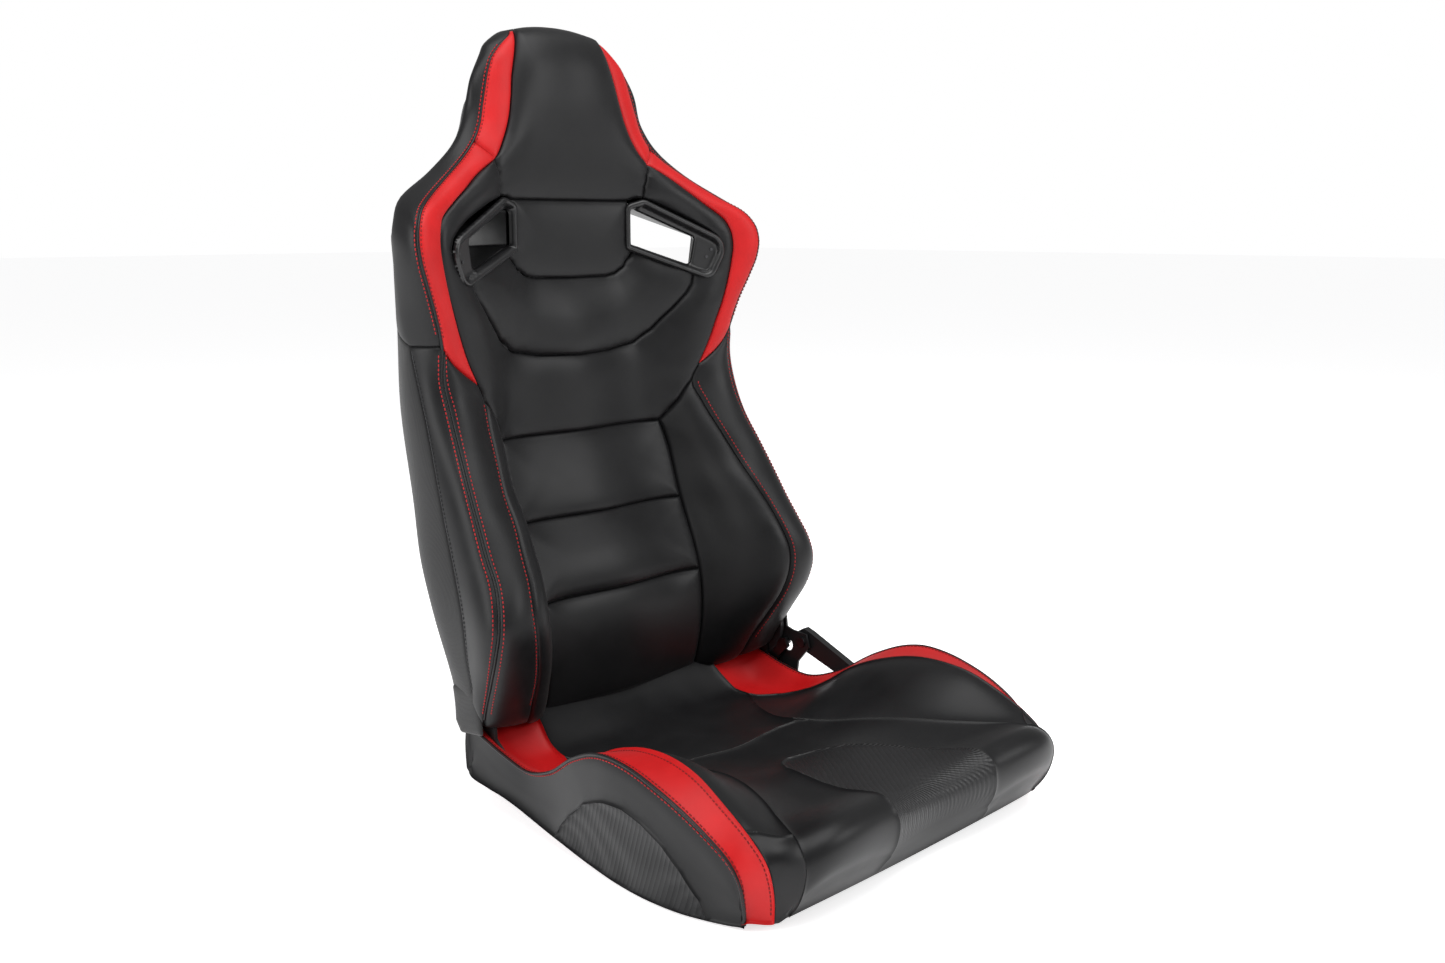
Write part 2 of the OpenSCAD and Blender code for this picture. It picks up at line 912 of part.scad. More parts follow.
bezel_corners = [
    [0, 653, 5, -1, -1], [126, 609, 14, 1, -1], [154, 664, 18, 1, 1], [28, 721, 14, 0, 1], [0, 713, 8, -1, 1]
];
mouth_corners = [[9, 661, 3, -1, -1], [96, 632, 4, 1, -1], [103, 669, 4, 1, 1], [9, 709, 5, -1, 1]];
exit_corners = [[9, 659, 3, -1, -1], [124, 622, 4, 1, -1], [130, 670, 4, 1, 1], [9, 711, 5, -1, 1]];

function bezel_outline(grow = 0) = rounded(grown(bezel_corners, grow));

// Tunnel that widens outwards from the mouth to the rear face
module tunnel_solid(wall) {
    mouth = rounded(grown(mouth_corners, wall));
    exit = rounded(grown(exit_corners, wall));
    loft([[for (p = mouth) [p.x, p.y, 6]], [for (p = exit) [p.x, p.y, 6 + tunnel_depth]]]);
}

// Room in the shell for the tunnel and the collar behind it
module tunnel_room() {
    in_bezel_plane() {
        tunnel_solid(3.4);
        translate([0, 0, tunnel_depth])
            linear_extrude(50)
                polygon(rounded(grown(exit_corners, 3.4)));
        translate([0, 0, tunnel_depth + 5.6])
            linear_extrude(50)
                polygon(rounded(grown(exit_corners, collar + 0.6)));
    }
}

module bezel() {
    in_bezel_plane()
        difference() {
            translate([0, 0, -7])
                linear_extrude(13)
                    polygon(bezel_outline());
            translate([0, 0, -8])
                linear_extrude(15)
                    polygon(rounded(mouth_corners));
            translate([0, 0, -8])
                linear_extrude(9)
                    polygon(rounded([[110, 636, 3], [121, 630, 6], [143, 655, 8], [114, 668, 4]]));
            for (p = bezel_screw_places)
                translate([p.x, p.y, -8])
                    cylinder(r = 2.1, h = 15);
        }
}

bezel_screw_places = [[120, 643], [127, 653]];

module bezel_right() {
    color("black")
        bezel();
}

module bezel_left() {
    color("black")
        mirrored_left()
            bezel();
}

module tunnel() {
    in_bezel_plane()
        difference() {
            tunnel_solid(2.8);
            translate([0, 0, -0.01])
                tunnel_solid(0);
            translate([0, 0, tunnel_depth + 5.9])
                linear_extrude(1)
                    polygon(rounded(exit_corners));
        }
}

module tunnel_right() {
    color("black")
        tunnel();
}

module tunnel_left() {
    color("black")
        mirrored_left()
            tunnel();
}

// Flat collar on the rear face around the tunnel
module rear_bezel() {
    in_bezel_plane()
        translate([0, 0, tunnel_depth + 6.2])
            linear_extrude(3)
                difference() {
                    polygon(rounded(grown(exit_corners, collar)));
                    polygon(rounded(exit_corners));
                }
}

module rear_bezel_right() {
    color("black")
        rear_bezel();
}

module rear_bezel_left() {
    color("black")
        mirrored_left()
            rear_bezel();
}

// Screws in the recessed plate of each bezel
module bezel_screws() {
    color("silver")
        for (side = [0, 1])
            mirror([side, 0, 0])
                in_bezel_plane()
                    for (p = bezel_screw_places)
                        translate([p.x, p.y, 0.5])
                            cylinder(r = 2, h = 5);
}

base_rail_right();
base_rail_left();
base_tube_front();
base_tube_rear();
mount_nuts();
thigh_pan();
seat_wires();
cushion_pad();
cushion_bolster_right();
cushion_bolster_left();
recliner_plate_right();
recliner_cage_right();
hinge_plate_left();
pivot_bolt_right();
pivot_bolt_left();
bracket_bolts();
bracket_spacers();
cage_studs();
lever_pin();
pawl_pin();
return_spring();
lever_arm();
lever_grip();
lever_link();
pawl();
release_pin();
recliner_arm_right();
hinge_arm_left();
spring_hook();
upright_right();
upright_left();
arm_bolts();
back_hoop();
cross_tube_low();
cross_tube_waist();
cross_tube_neck();
back_wires();
neck_wires();
back_pad();
back_bolster_right();
back_bolster_left();
shoulder_right();
shoulder_left();
head_pad();
back_shell();
back_skirt();
bezel_right();
bezel_left();
tunnel_right();
tunnel_left();
rear_bezel_right();
rear_bezel_left();
bezel_screws();
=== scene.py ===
"""Looks of the reclining sports seat: upholstery, seams, stitching, trim and studio, on the CAD frame.

Tables are in millimetres in the seat frame: x to the sitter's left, y to the rear, z up.
"""
import json
import math

import bpy
import numpy as np
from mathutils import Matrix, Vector
from mathutils.geometry import delaunay_2d_cdt


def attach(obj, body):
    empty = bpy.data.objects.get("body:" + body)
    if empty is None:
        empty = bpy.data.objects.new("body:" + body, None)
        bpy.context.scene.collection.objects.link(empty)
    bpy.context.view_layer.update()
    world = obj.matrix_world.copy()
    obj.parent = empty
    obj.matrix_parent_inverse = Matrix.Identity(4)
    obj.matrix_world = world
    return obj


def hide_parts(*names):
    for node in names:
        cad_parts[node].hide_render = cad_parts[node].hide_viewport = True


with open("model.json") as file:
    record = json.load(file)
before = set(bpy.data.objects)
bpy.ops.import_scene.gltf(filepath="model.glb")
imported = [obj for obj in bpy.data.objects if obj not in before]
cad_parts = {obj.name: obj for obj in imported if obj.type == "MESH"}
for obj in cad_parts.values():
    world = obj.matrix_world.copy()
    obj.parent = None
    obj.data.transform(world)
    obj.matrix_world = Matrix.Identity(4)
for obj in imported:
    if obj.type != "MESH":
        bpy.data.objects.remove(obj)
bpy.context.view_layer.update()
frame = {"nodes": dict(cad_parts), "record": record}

MM = 0.001
MIRROR = np.array([-1.0, 1.0, 1.0])

# ---- Backrest lines: rows of (height along the skin, half-width, depth) ----

BACK_MIDDLE = [
    (30, 0, 290), (62, 0, 268), (80, 0, 258), (92, 0, 254), (140, 0, 246), (200, 0, 243),
    (222, 0, 245), (316, 0, 288), (370, 0, 312), (417, 0, 326), (514, 0, 331), (612, 0, 347),
    (711, 0, 347), (780, 0, 342), (850, 0, 341), (900, 0, 349), (915, 0, 355), (930, 0, 364),
    (945, 0, 375), (960, 0, 388),
]
BACK_PAD_EDGE = [
    (30, 120, 290), (62, 130, 265), (80, 132, 254), (92, 132, 250), (156, 133, 238),
    (222, 135, 244), (316, 139, 286), (417, 134, 323), (450, 120, 334), (500, 105, 339),
    (560, 95, 341), (612, 92, 342), (711, 90, 341), (745, 75, 341), (790, 60, 341), (850, 55, 342),
    (900, 50, 350), (915, 49, 356), (930, 48, 364), (945, 46, 375), (960, 40, 388),
]
BACK_BAND = [
    (30, 165, 288), (62, 180, 248), (80, 184, 230), (92, 186, 218), (125, 192, 198),
    (156, 200, 178), (196, 213, 158), (224, 219, 152), (252, 221, 155), (278, 217, 166),
    (306, 212, 184), (339, 204, 208), (367, 199, 232), (404, 190, 258), (442, 181, 284),
    (471, 176, 299), (492, 187, 296), (519, 202, 293), (550, 215, 290), (580, 226, 286),
    (608, 234, 284), (631, 239, 283), (655, 242, 283), (674, 239, 286), (687, 233, 291),
    (706, 209, 302), (721, 188, 310), (741, 160, 322), (761, 126, 332), (786, 107, 339),
    (808, 97, 342), (838, 89, 346), (864, 84, 350), (900, 75, 355), (915, 71, 359), (930, 67, 366),
    (945, 61, 376), (960, 50, 388),
]
BACK_PIPING = [
    (30, 205, 286), (62, 232, 258), (80, 242, 240), (92, 247, 228), (125, 254, 210),
    (158, 261, 190), (201, 270, 165), (234, 270, 157), (260, 265, 163), (281, 260, 174),
    (309, 257, 193), (345, 253, 215), (385, 248, 240), (425, 242, 265), (461, 240, 282),
    (498, 241, 293), (540, 241, 291), (580, 253, 285), (610, 266, 278), (638, 277, 273),
    (663, 280, 273), (680, 276, 277), (699, 262, 289), (713, 240, 305), (732, 210, 321),
    (752, 180, 335), (770, 157, 345), (788, 141, 351), (803, 133, 354), (827, 126, 357),
    (849, 120, 359), (872, 113, 361), (900, 101, 364), (915, 88, 366), (930, 72, 370),
    (945, 65, 378), (960, 56, 388),
]
BACK_SIDE = [
    (30, 208, 288), (62, 238, 262), (80, 248, 252), (92, 253, 244), (142, 260, 227),
    (185, 266, 228), (237, 271, 228), (288, 269, 244), (345, 264, 268), (452, 259, 304),
    (535, 262, 326), (580, 269, 327), (640, 280, 318), (680, 281, 316), (707, 266, 327),
    (740, 212, 346), (778, 164, 360), (811, 142, 366), (857, 130, 370), (900, 108, 376),
    (915, 101, 379), (930, 87, 382), (945, 74, 385), (960, 60, 389),
]
BACK_REAR_SIDE = [
    (30, 206, 290), (62, 235, 274), (80, 244, 268), (92, 247, 268), (140, 251, 276),
    (231, 264, 296), (289, 262, 320), (355, 255, 342), (475, 250, 370), (554, 256, 360),
    (640, 268, 340), (680, 270, 334), (707, 252, 340), (740, 200, 354), (789, 154, 368),
    (837, 133, 376), (900, 104, 386), (915, 97, 388), (930, 84, 389), (945, 72, 390),
    (960, 58, 390),
]
BACK_CORNER = [
    (30, 180, 291), (62, 204, 286), (80, 211, 287), (92, 213, 290), (140, 218, 300),
    (231, 232, 323), (289, 230, 344), (355, 226, 369), (475, 220, 396), (554, 226, 390),
    (640, 240, 373), (680, 240, 360), (707, 222, 368), (740, 174, 384), (789, 126, 396),
    (837, 104, 402), (900, 78, 408), (915, 74, 408), (930, 67, 405), (945, 60, 399), (960, 50, 391),
]
BACK_REAR = [
    (30, 0, 292), (62, 0, 302), (80, 0, 308), (92, 0, 312), (140, 0, 322), (231, 0, 343),
    (355, 0, 375), (475, 0, 406), (600, 0, 417), (700, 0, 420), (800, 0, 420), (900, 0, 422),
    (915, 0, 421), (930, 0, 416), (945, 0, 405), (960, 0, 390),
]
# Height above the floor of each height along the skin, which curls under the hem and over the head
BACK_HEIGHT = [
    (30, 98), (62, 88), (80, 82), (92, 92), (140, 140), (200, 200), (900, 900), (915, 914),
    (930, 925), (945, 932), (960, 936),
]
# How far the skin drops by DOME_HALF_WIDTH from the middle, at each height along it
HEAD_DOME = [(30, 0), (850, 0), (870, 0), (930, 5), (960, 8)]
DOME_HALF_WIDTH = 60
# Distances across the skin from each line to the next, and the lines used below
BACK_SPANS = [110, 80, 45, 50, 95, 50, 230]
PAD, BAND, PIPE, SIDE, REAR_SIDE, REAR = 110, 190, 235, 285, 380, 660

# ---- Cushion lines: rows of (distance forward along the skin, half-width, depth, height) ----

SEAT_MIDDLE = [
    (-310, 0, 262, 34), (-284, 0, 267, 66), (-262, 0, 262, 87), (-236, 0, 239, 72),
    (-200, 0, 200, 56), (-120, 0, 120, 52), (-41, 0, 41, 54), (0, 0, 0, 56), (38, 0, -38, 61),
    (83, 0, -83, 76), (122, 0, -122, 85), (156, 0, -156, 90), (195, 0, -195, 94),
    (226, 0, -226, 95), (248, 0, -247, 92), (264, 0, -258, 83), (280, 0, -262, 70),
    (300, 0, -260, 51), (322, 0, -252, 31), (340, 0, -241, 15),
]
SEAT_PAD_EDGE = [
    (-310, 150, 260, 34), (-284, 150, 262, 68), (-260, 150, 258, 89), (-200, 159, 200, 52),
    (-165, 152, 165, 49), (-122, 128, 122, 51), (-75, 108, 75, 57), (-29, 102, 29, 67),
    (13, 112, -13, 73), (60, 126, -60, 84), (110, 146, -110, 92), (163, 172, -163, 95),
    (190, 188, -190, 96), (226, 208, -226, 98), (248, 217, -247, 96), (264, 221, -258, 87),
    (280, 222, -263, 74), (300, 222, -260, 53), (322, 221, -250, 32), (340, 219, -237, 15),
]
SEAT_BAND = [
    (-310, 210, 260, 36), (-284, 210, 259, 70), (-259, 210, 254, 91), (-200, 206, 200, 56),
    (-150, 206, 150, 52), (-110, 210, 110, 62), (-70, 214, 70, 84), (-38, 219, 38, 107),
    (13, 225, -13, 129), (60, 230, -60, 139), (100, 234, -100, 139), (129, 238, -130, 134),
    (168, 243, -170, 118), (205, 246, -208, 98), (235, 246, -230, 80), (265, 241, -235, 58),
    (290, 236, -234, 36), (318, 232, -230, 10),
]
SEAT_PIPING = [
    (-310, 248, 256, 34), (-282, 250, 255, 72), (-253, 250, 248, 94), (-225, 250, 226, 88),
    (-180, 250, 180, 75), (-132, 252, 132, 69), (-86, 258, 86, 84), (-30, 268, 30, 119),
    (5, 272, -5, 134), (24, 274, -24, 138), (67, 276, -67, 137), (106, 277, -106, 128),
    (142, 276, -142, 115), (174, 273, -174, 98), (205, 267, -199, 77), (235, 262, -210, 55),
    (265, 258, -212, 34), (290, 255, -211, 20), (318, 253, -209, 8),
]
SEAT_FLANK = [
    (-310, 248, 250, 30), (-280, 250, 250, 52), (-250, 251, 247, 68), (-180, 256, 180, 52),
    (-132, 259, 132, 47), (-86, 264, 86, 48), (-30, 272, 30, 62), (24, 278, -24, 74),
    (67, 280, -67, 74), (106, 280, -106, 68), (142, 278, -142, 58), (174, 272, -174, 48),
    (205, 266, -198, 37), (235, 260, -209, 27), (265, 256, -210, 18), (290, 254, -210, 12),
    (318, 252, -208, 6),
]
SEAT_HEM = [
    (-310, 248, 250, 30), (-280, 250, 250, 38), (-250, 252, 247, 42), (-240, 254, 243, 37),
    (-205, 256, 205, 31), (-177, 258, 177, 30), (-70, 265, 70, 15), (0, 270, 0, 6),
    (47, 274, -47, 3), (108, 276, -108, 3), (141, 272, -141, 3), (171, 264, -169, 3),
    (205, 257, -192, 4), (235, 253, -203, 5), (265, 252, -206, 5), (318, 251, -208, 5),
]
SEAT_SPANS = [120, 110, 40, 70, 70]
SEAT_PAD, SEAT_BAND_X, SEAT_PIPE, SEAT_HEM_X = 120, 230, 270, 410

# ---- Curves and surfaces ----

FIND_STEPS = 160


def smooth(rows):
    """Smooth curve through rows of (t, values...), as a function of an array of t."""
    rows = np.array(rows, float)
    t, v = rows[:, 0], rows[:, 1:]
    h = np.diff(t)[:, None]
    d = np.diff(v, axis=0) / h
    m = np.empty_like(v)
    m[0], m[-1] = d[0], d[-1]
    m[1:-1] = (d[:-1] * h[1:] + d[1:] * h[:-1]) / (h[1:] + h[:-1])

    def value(at):
        at = np.clip(np.asarray(at, float), t[0], t[-1])
        i = np.clip(np.searchsorted(t, at, side="right") - 1, 0, len(t) - 2)
        s = ((at - t[i]) / h[i, 0])[:, None]
        a = (1 + 2 * s) * (1 - s) ** 2 * v[i] + s * (1 - s) ** 2 * h[i] * m[i]
        b = s * s * (3 - 2 * s) * v[i + 1] + s * s * (s - 1) * h[i] * m[i + 1]
        return a + b

    return value


def with_height(rows):
    """Backrest rows get their height, which follows the skin over the domed top of the head."""
    height = smooth(BACK_HEIGHT)
    dome = smooth(HEAD_DOME)
    return [(t, w, y, float(height([t])[0, 0] - dome([t])[0, 0] * (w / DOME_HALF_WIDTH) ** 2))
            for t, w, y in rows]


class Skin:
    """Half of a body's outer surface, lofted across its lines and mirrored about the middle plane.

    A closed skin goes on round the back to the other side; an open one ends at its last line.
    """

    def __init__(self, lines, spans):
        self.lines = [smooth(rows) for rows in lines]
        self.knots = np.concatenate([[0], np.cumsum(spans)]).astype(float)
        self.closed = abs(lines[-1][0][1]) < 1e-6

    def point(self, s, t):
        """Places at s across the skin (negative on the other side) and t along it."""
        s = np.asarray(s, float)
        t = np.asarray(t, float)
        sign = np.where(s < 0, -1.0, 1.0)
        s = np.abs(s)
        total = self.knots[-1]
        if self.closed:
            sign = np.where(s > total, -sign, sign)
            s = np.where(s > total, 2 * total - s, s)
        s = np.clip(s, 0, total)
        across = np.stack([line(t) for line in self.lines], axis=1)
        before = across[:, 1:2] * MIRROR
        after = across[:, -2:-1] * MIRROR if self.closed else 2 * across[:, -1:] - across[:, -2:-1]
        q = np.concatenate([before, across, after], axis=1)
        chord = np.linalg.norm(np.diff(q, axis=1), axis=2)[:, :, None] + 1e-6
        d = np.diff(q, axis=1) / chord
        m = (d[:, :-1] * chord[:, 1:] + d[:, 1:] * chord[:, :-1]) / (chord[:, 1:] + chord[:, :-1])
        i = np.clip(np.searchsorted(self.knots, s, side="right") - 1, 0, len(self.lines) - 2)
        n = np.arange(len(s))
        u = ((s - self.knots[i]) / (self.knots[i + 1] - self.knots[i]))[:, None]
        p0, p1 = across[n, i], across[n, i + 1]
        m0, m1 = m[n, i] * chord[n, i + 1], m[n, i + 1] * chord[n, i + 1]
        a = (1 + 2 * u) * (1 - u) ** 2 * p0 + u * (1 - u) ** 2 * m0
        b = u * u * (3 - 2 * u) * p1 + u * u * (u - 1) * m1
        out = a + b
        out[:, 0] *= sign
        return out

    def normal(self, s, t):
        """Outward unit normals."""
        across = self.point(np.asarray(s) + 0.5, t) - self.point(np.asarray(s) - 0.5, t)
        along = self.point(s, np.asarray(t) + 0.5) - self.point(s, np.asarray(t) - 0.5)
        n = np.cross(across, along)
        return n / (np.linalg.norm(n, axis=1)[:, None] + 1e-9)

    def find(self, axis, value, t, low, high):
        """The s between low and high where the given coordinate has the given value."""
        s = np.linspace(low, high, FIND_STEPS)
        c = self.point(s, np.full(FIND_STEPS, float(t)))[:, axis]
        k = int(np.argmin(np.abs(c - value)))
        return float(s[k])

    def across_x(self, pairs, low=0.0, high=200.0):
        """Turns (half-width, t) pairs into (s, t) pairs."""
        return [(self.find(0, w, t, low, high), t) for w, t in pairs]


BACK = Skin(
    [with_height(rows) for rows in (
        BACK_MIDDLE, BACK_PAD_EDGE, BACK_BAND, BACK_PIPING,
        BACK_SIDE, BACK_REAR_SIDE, BACK_CORNER, BACK_REAR,
    )],
    BACK_SPANS,
)
SEAT = Skin([SEAT_MIDDLE, SEAT_PAD_EDGE, SEAT_BAND, SEAT_PIPING, SEAT_FLANK, SEAT_HEM], SEAT_SPANS)

# The right of the cushion is slimmer at the rear, where it passes inside the lever and the recliner
SLIM = 14.0
SLIM_START_Y, SLIM_LENGTH = -50, 130
SLIM_START_X, SLIM_WIDTH = 180, 60


def slim_right(points):
    """Narrows the rear of the right-hand side of the cushion."""
    out = points.copy()
    rear = np.clip((points[:, 1] - SLIM_START_Y) / SLIM_LENGTH, 0, 1)
    outer = np.clip((points[:, 0] - SLIM_START_X) / SLIM_WIDTH, 0, 1)
    out[:, 0] -= SLIM * rear * rear * (3 - 2 * rear) * outer
    return out


# ---- Panel meshes ----

RIM_STEP = 3.2
RIM_ROWS = (1.2, 2.6, 4.6)
GRID_CLEARANCE = 6.5
SEAM_WIDTH = 5.5
BATCH = 4000


def divided(a, b, step):
    """Points from a up to but not including b, at most one step apart."""
    a, b = np.array(a, float), np.array(b, float)
    count = max(1, int(math.ceil(np.linalg.norm(b - a) / step)))
    return [a + (b - a) * k / count for k in range(count)]


def resample(outline, step):
    """Points at most one step apart along a closed outline."""
    out = []
    for a, b in zip(outline, outline[1:] + outline[:1]):
        out.extend(divided(a, b, step))
    return np.array(out)


def inside(points, ring):
    """Which points lie inside a closed ring."""
    x, y = points[:, 0][:, None], points[:, 1][:, None]
    x0, y0 = ring[:, 0][None], ring[:, 1][None]
    x1, y1 = np.roll(x0, -1, axis=1), np.roll(y0, -1, axis=1)
    spans = (y0 > y) != (y1 > y)
    cross = x0 + (y - y0) * (x1 - x0) / np.where(y1 == y0, 1e-9, y1 - y0)
    return (spans & (x < cross)).sum(axis=1) % 2 == 1


def distance(points, rings):
    """Distance from each point to the nearest of the closed rings."""
    best = np.full(len(points), 1e9)
    for ring in rings:
        a = ring
        ab = np.roll(ring, -1, axis=0) - ring
        length = (ab ** 2).sum(axis=1) + 1e-12
        for first in range(0, len(points), BATCH):
            p = points[first:first + BATCH, None]
            u = np.clip(((p - a) * ab).sum(axis=2) / length, 0, 1)
            gap = np.linalg.norm(p - (a + u[:, :, None] * ab), axis=2).min(axis=1)
            best[first:first + BATCH] = np.minimum(best[first:first + BATCH], gap)
    return best


def offset_ring(ring, amount):
    """Points the given distance to either side of a ring."""
    along = np.roll(ring, -1, axis=0) - np.roll(ring, 1, axis=0)
    across = np.stack([-along[:, 1], along[:, 0]], axis=1)
    across /= np.linalg.norm(across, axis=1)[:, None] + 1e-9
    return np.concatenate([ring + across * amount, ring - across * amount])


def flat_mesh(outline, holes, cell, rim):
    """Triangulates a flat region: points, triangles and distances from its edge.

    Rows of points follow the edge closely, where the cloth dips into its seam, and a grid of
    triangles fills the rest.
    """
    rings = [resample(outline, rim)] + [resample(hole, rim) for hole in holes]
    low, high = rings[0].min(axis=0), rings[0].max(axis=0)
    rows = np.arange(low[1], high[1], cell * 0.87)
    columns = np.arange(low[0], high[0], cell)
    grid = np.array([(x + (k % 2) * cell / 2, y) for k, y in enumerate(rows) for x in columns])
    extra = [grid[distance(grid, rings) > GRID_CLEARANCE]]
    for amount in RIM_ROWS:
        near = np.concatenate([offset_ring(ring, amount) for ring in rings])
        extra.append(near[distance(near, rings) > amount * 0.97])
    inner = np.concatenate(extra)
    keep = inside(inner, rings[0])
    for hole in rings[1:]:
        keep &= ~inside(inner, hole)
    inner = inner[keep]
    points = np.concatenate(rings + [inner])
    edges = []
    start = 0
    for ring in rings:
        n = len(ring)
        edges.extend((start + i, start + (i + 1) % n) for i in range(n))
        start += n
    verts, _, faces, *_ = delaunay_2d_cdt([Vector(p) for p in points], edges, [], 0, 1e-4)
    flat = np.array([tuple(v) for v in verts])
    faces = np.array([tuple(f) for f in faces])
    middle = flat[faces].mean(axis=1)
    keep = inside(middle, rings[0])
    for hole in rings[1:]:
        keep &= ~inside(middle, hole)
    return flat, faces[keep], distance(flat, rings)


def swell(d, puff, roll, edge):
    """Height of stuffed cloth above the bare skin, at a distance from its seam."""
    near = np.clip(d / SEAM_WIDTH, 0, 1)
    return puff * (1 - np.exp(-d / roll)) - edge * (1 - np.sqrt(1 - (1 - near) ** 2))


def new_object(name, points, faces, material, body, slot):
    """Mesh object in metres from points in millimetres, riding on a body."""
    mesh = bpy.data.meshes.new(name)
    mesh.from_pydata([tuple(p) for p in points * MM], [], [tuple(int(i) for i in f) for f in faces])
    mesh.materials.append(material)
    mesh.polygons.foreach_set("use_smooth", [True] * len(mesh.polygons))
    mesh.update()
    piece = bpy.data.objects.new(name, mesh)
    bpy.context.scene.collection.objects.link(piece)
    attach(piece, body)
    return piece


def mirrored(points, faces):
    """The same surface on the other side of the middle plane."""
    return points * MIRROR, faces[:, ::-1]


def sides(symmetric):
    """Names and factors of the sides a piece is made on."""
    if symmetric:
        return (("", 1),)
    return (("_right", 1), ("_left", -1))


def panel(name, skin, outline, material, body, slot, holes=(), puff=6.0, roll=18.0, edge=3.5,
          cell=7.0, symmetric=False):
    """Sewn panel over a region of a skin: seams lie deep at its edge and the middle is stuffed."""
    flat, faces, d = flat_mesh(outline, list(holes), cell, RIM_STEP)
    points = skin.point(flat[:, 0], flat[:, 1])
    lift = swell(d, puff, roll, edge)
    points = points + skin.normal(flat[:, 0], flat[:, 1]) * lift[:, None]
    for suffix, sign in sides(symmetric):
        p, f = (points, faces) if sign > 0 else mirrored(points, faces)
        if skin is SEAT:
            p = slim_right(p)
        piece = new_object(name + suffix, p, f, material, body, slot)


# ---- Seams: piping and stitches ----

PATH_STEP = 2.0
# Thread of one stitch: (place along it, radius)
STITCH_PROFILE = [(-1.9, 0.1), (-1.4, 0.6), (0.0, 0.75), (1.4, 0.6), (1.9, 0.1)]
STITCH_PITCH = 5.2
STITCH_HALF = 1.9
STITCH_DIP = 0.5
STITCH_SIDES = 6
# Distance ahead of a stitch at which its direction is taken
LOOK_AHEAD = 0.6


def dense(path):
    """Points along an open path in skin coordinates."""
    out = []
    for a, b in zip(path[:-1], path[1:]):
        out.extend(divided(a, b, PATH_STEP))
    out.append(np.array(path[-1], float))
    return np.array(out)


def on_skin(skin, path, offset, lift):
    """Places and normals along a path, set off to its left and raised from the skin."""
    flat = dense(path)
    along = np.gradient(flat, axis=0)
    across = np.stack([-along[:, 1], along[:, 0]], axis=1)
    across /= np.linalg.norm(across, axis=1)[:, None] + 1e-9
    flat = flat + across * offset
    normal = skin.normal(flat[:, 0], flat[:, 1])
    return skin.point(flat[:, 0], flat[:, 1]) + normal * lift, normal


def tube(points, normals, radius, count=8):
    """Round cord along a line of points."""
    along = np.gradient(points, axis=0)
    along /= np.linalg.norm(along, axis=1)[:, None] + 1e-9
    b = np.cross(along, normals)
    b /= np.linalg.norm(b, axis=1)[:, None] + 1e-9
    n = np.cross(b, along)
    a = np.arange(count) * 2 * math.pi / count
    round_n = np.cos(a)[None, :, None] * n[:, None]
    round_b = np.sin(a)[None, :, None] * b[:, None]
    rings = points[:, None] + radius * (round_n + round_b)
    faces = []
    for i in range(len(points) - 1):
        for k in range(count):
            j = (k + 1) % count
            faces.append((i * count + k, i * count + j, (i + 1) * count + j, (i + 1) * count + k))
    return rings.reshape(-1, 3), np.array(faces)


def even(points, normals, pitch):
    """Points every pitch along a line, with the directions and normals there."""
    step = np.linalg.norm(np.diff(points, axis=0), axis=1)
    run = np.concatenate([[0], np.cumsum(step)])
    at = np.arange(pitch, run[-1] - pitch / 2, pitch)
    place = np.stack([np.interp(at, run, points[:, k]) for k in range(3)], axis=1)
    ahead = np.stack([np.interp(at + LOOK_AHEAD, run, points[:, k]) for k in range(3)], axis=1)
    normal = np.stack([np.interp(at, run, normals[:, k]) for k in range(3)], axis=1)
    along = ahead - place
    return place, along / (np.linalg.norm(along, axis=1)[:, None] + 1e-9), normal


def stitch_row(points, normals):
    """Row of short rounded threads that dip into the cover at both ends."""
    place, along, normal = even(points, normals, STITCH_PITCH)
    across = np.cross(along, normal)
    across /= np.linalg.norm(across, axis=1)[:, None] + 1e-9
    normal = np.cross(across, along)
    verts, faces = [], []
    a = np.arange(STITCH_SIDES) * math.pi / 3
    for p, d, c, n in zip(place, along, across, normal):
        base = len(verts)
        for shift, radius in STITCH_PROFILE:
            dip = -STITCH_DIP * (shift / STITCH_HALF) ** 2
            centre = p + d * shift + n * dip
            verts.extend(centre + radius * (math.cos(x) * c + math.sin(x) * n) for x in a)
        for i in range(len(STITCH_PROFILE) - 1):
            low, high = base + i * STITCH_SIDES, base + (i + 1) * STITCH_SIDES
            for k in range(STITCH_SIDES):
                j = (k + 1) % STITCH_SIDES
                faces.append((low + k, low + j, high + j, high + k))
    return np.array(verts), np.array(faces)


def seam_piece(kind, name, skin, path, offset, lift, material, body, slot, radius=2.0):
    """Piping or a stitch row along a path on a skin, on both sides."""
    points, normals = on_skin(skin, path, offset, lift)
    for suffix, sign in sides(False):
        p, n = points, normals
        if sign < 0:
            p, n = p * MIRROR, n * MIRROR
        if skin is SEAT:
            p = slim_right(p)
        verts, faces = tube(p, n, radius) if kind == "piping" else stitch_row(p, n)
        new_object(name + suffix, verts, faces, material, body, slot)


# ---- Materials ----


def new_material(name):
    """New node material, its node tree and its shader."""
    made = bpy.data.materials.new(name)
    made.use_nodes = True
    return made, made.node_tree, made.node_tree.nodes["Principled BSDF"]


def node(tree, kind, **inputs):
    """Adds a shader node and sets its plain inputs."""
    made = tree.nodes.new(kind)
    for key, value in inputs.items():
        made.inputs[key.replace("_", " ")].default_value = value
    return made


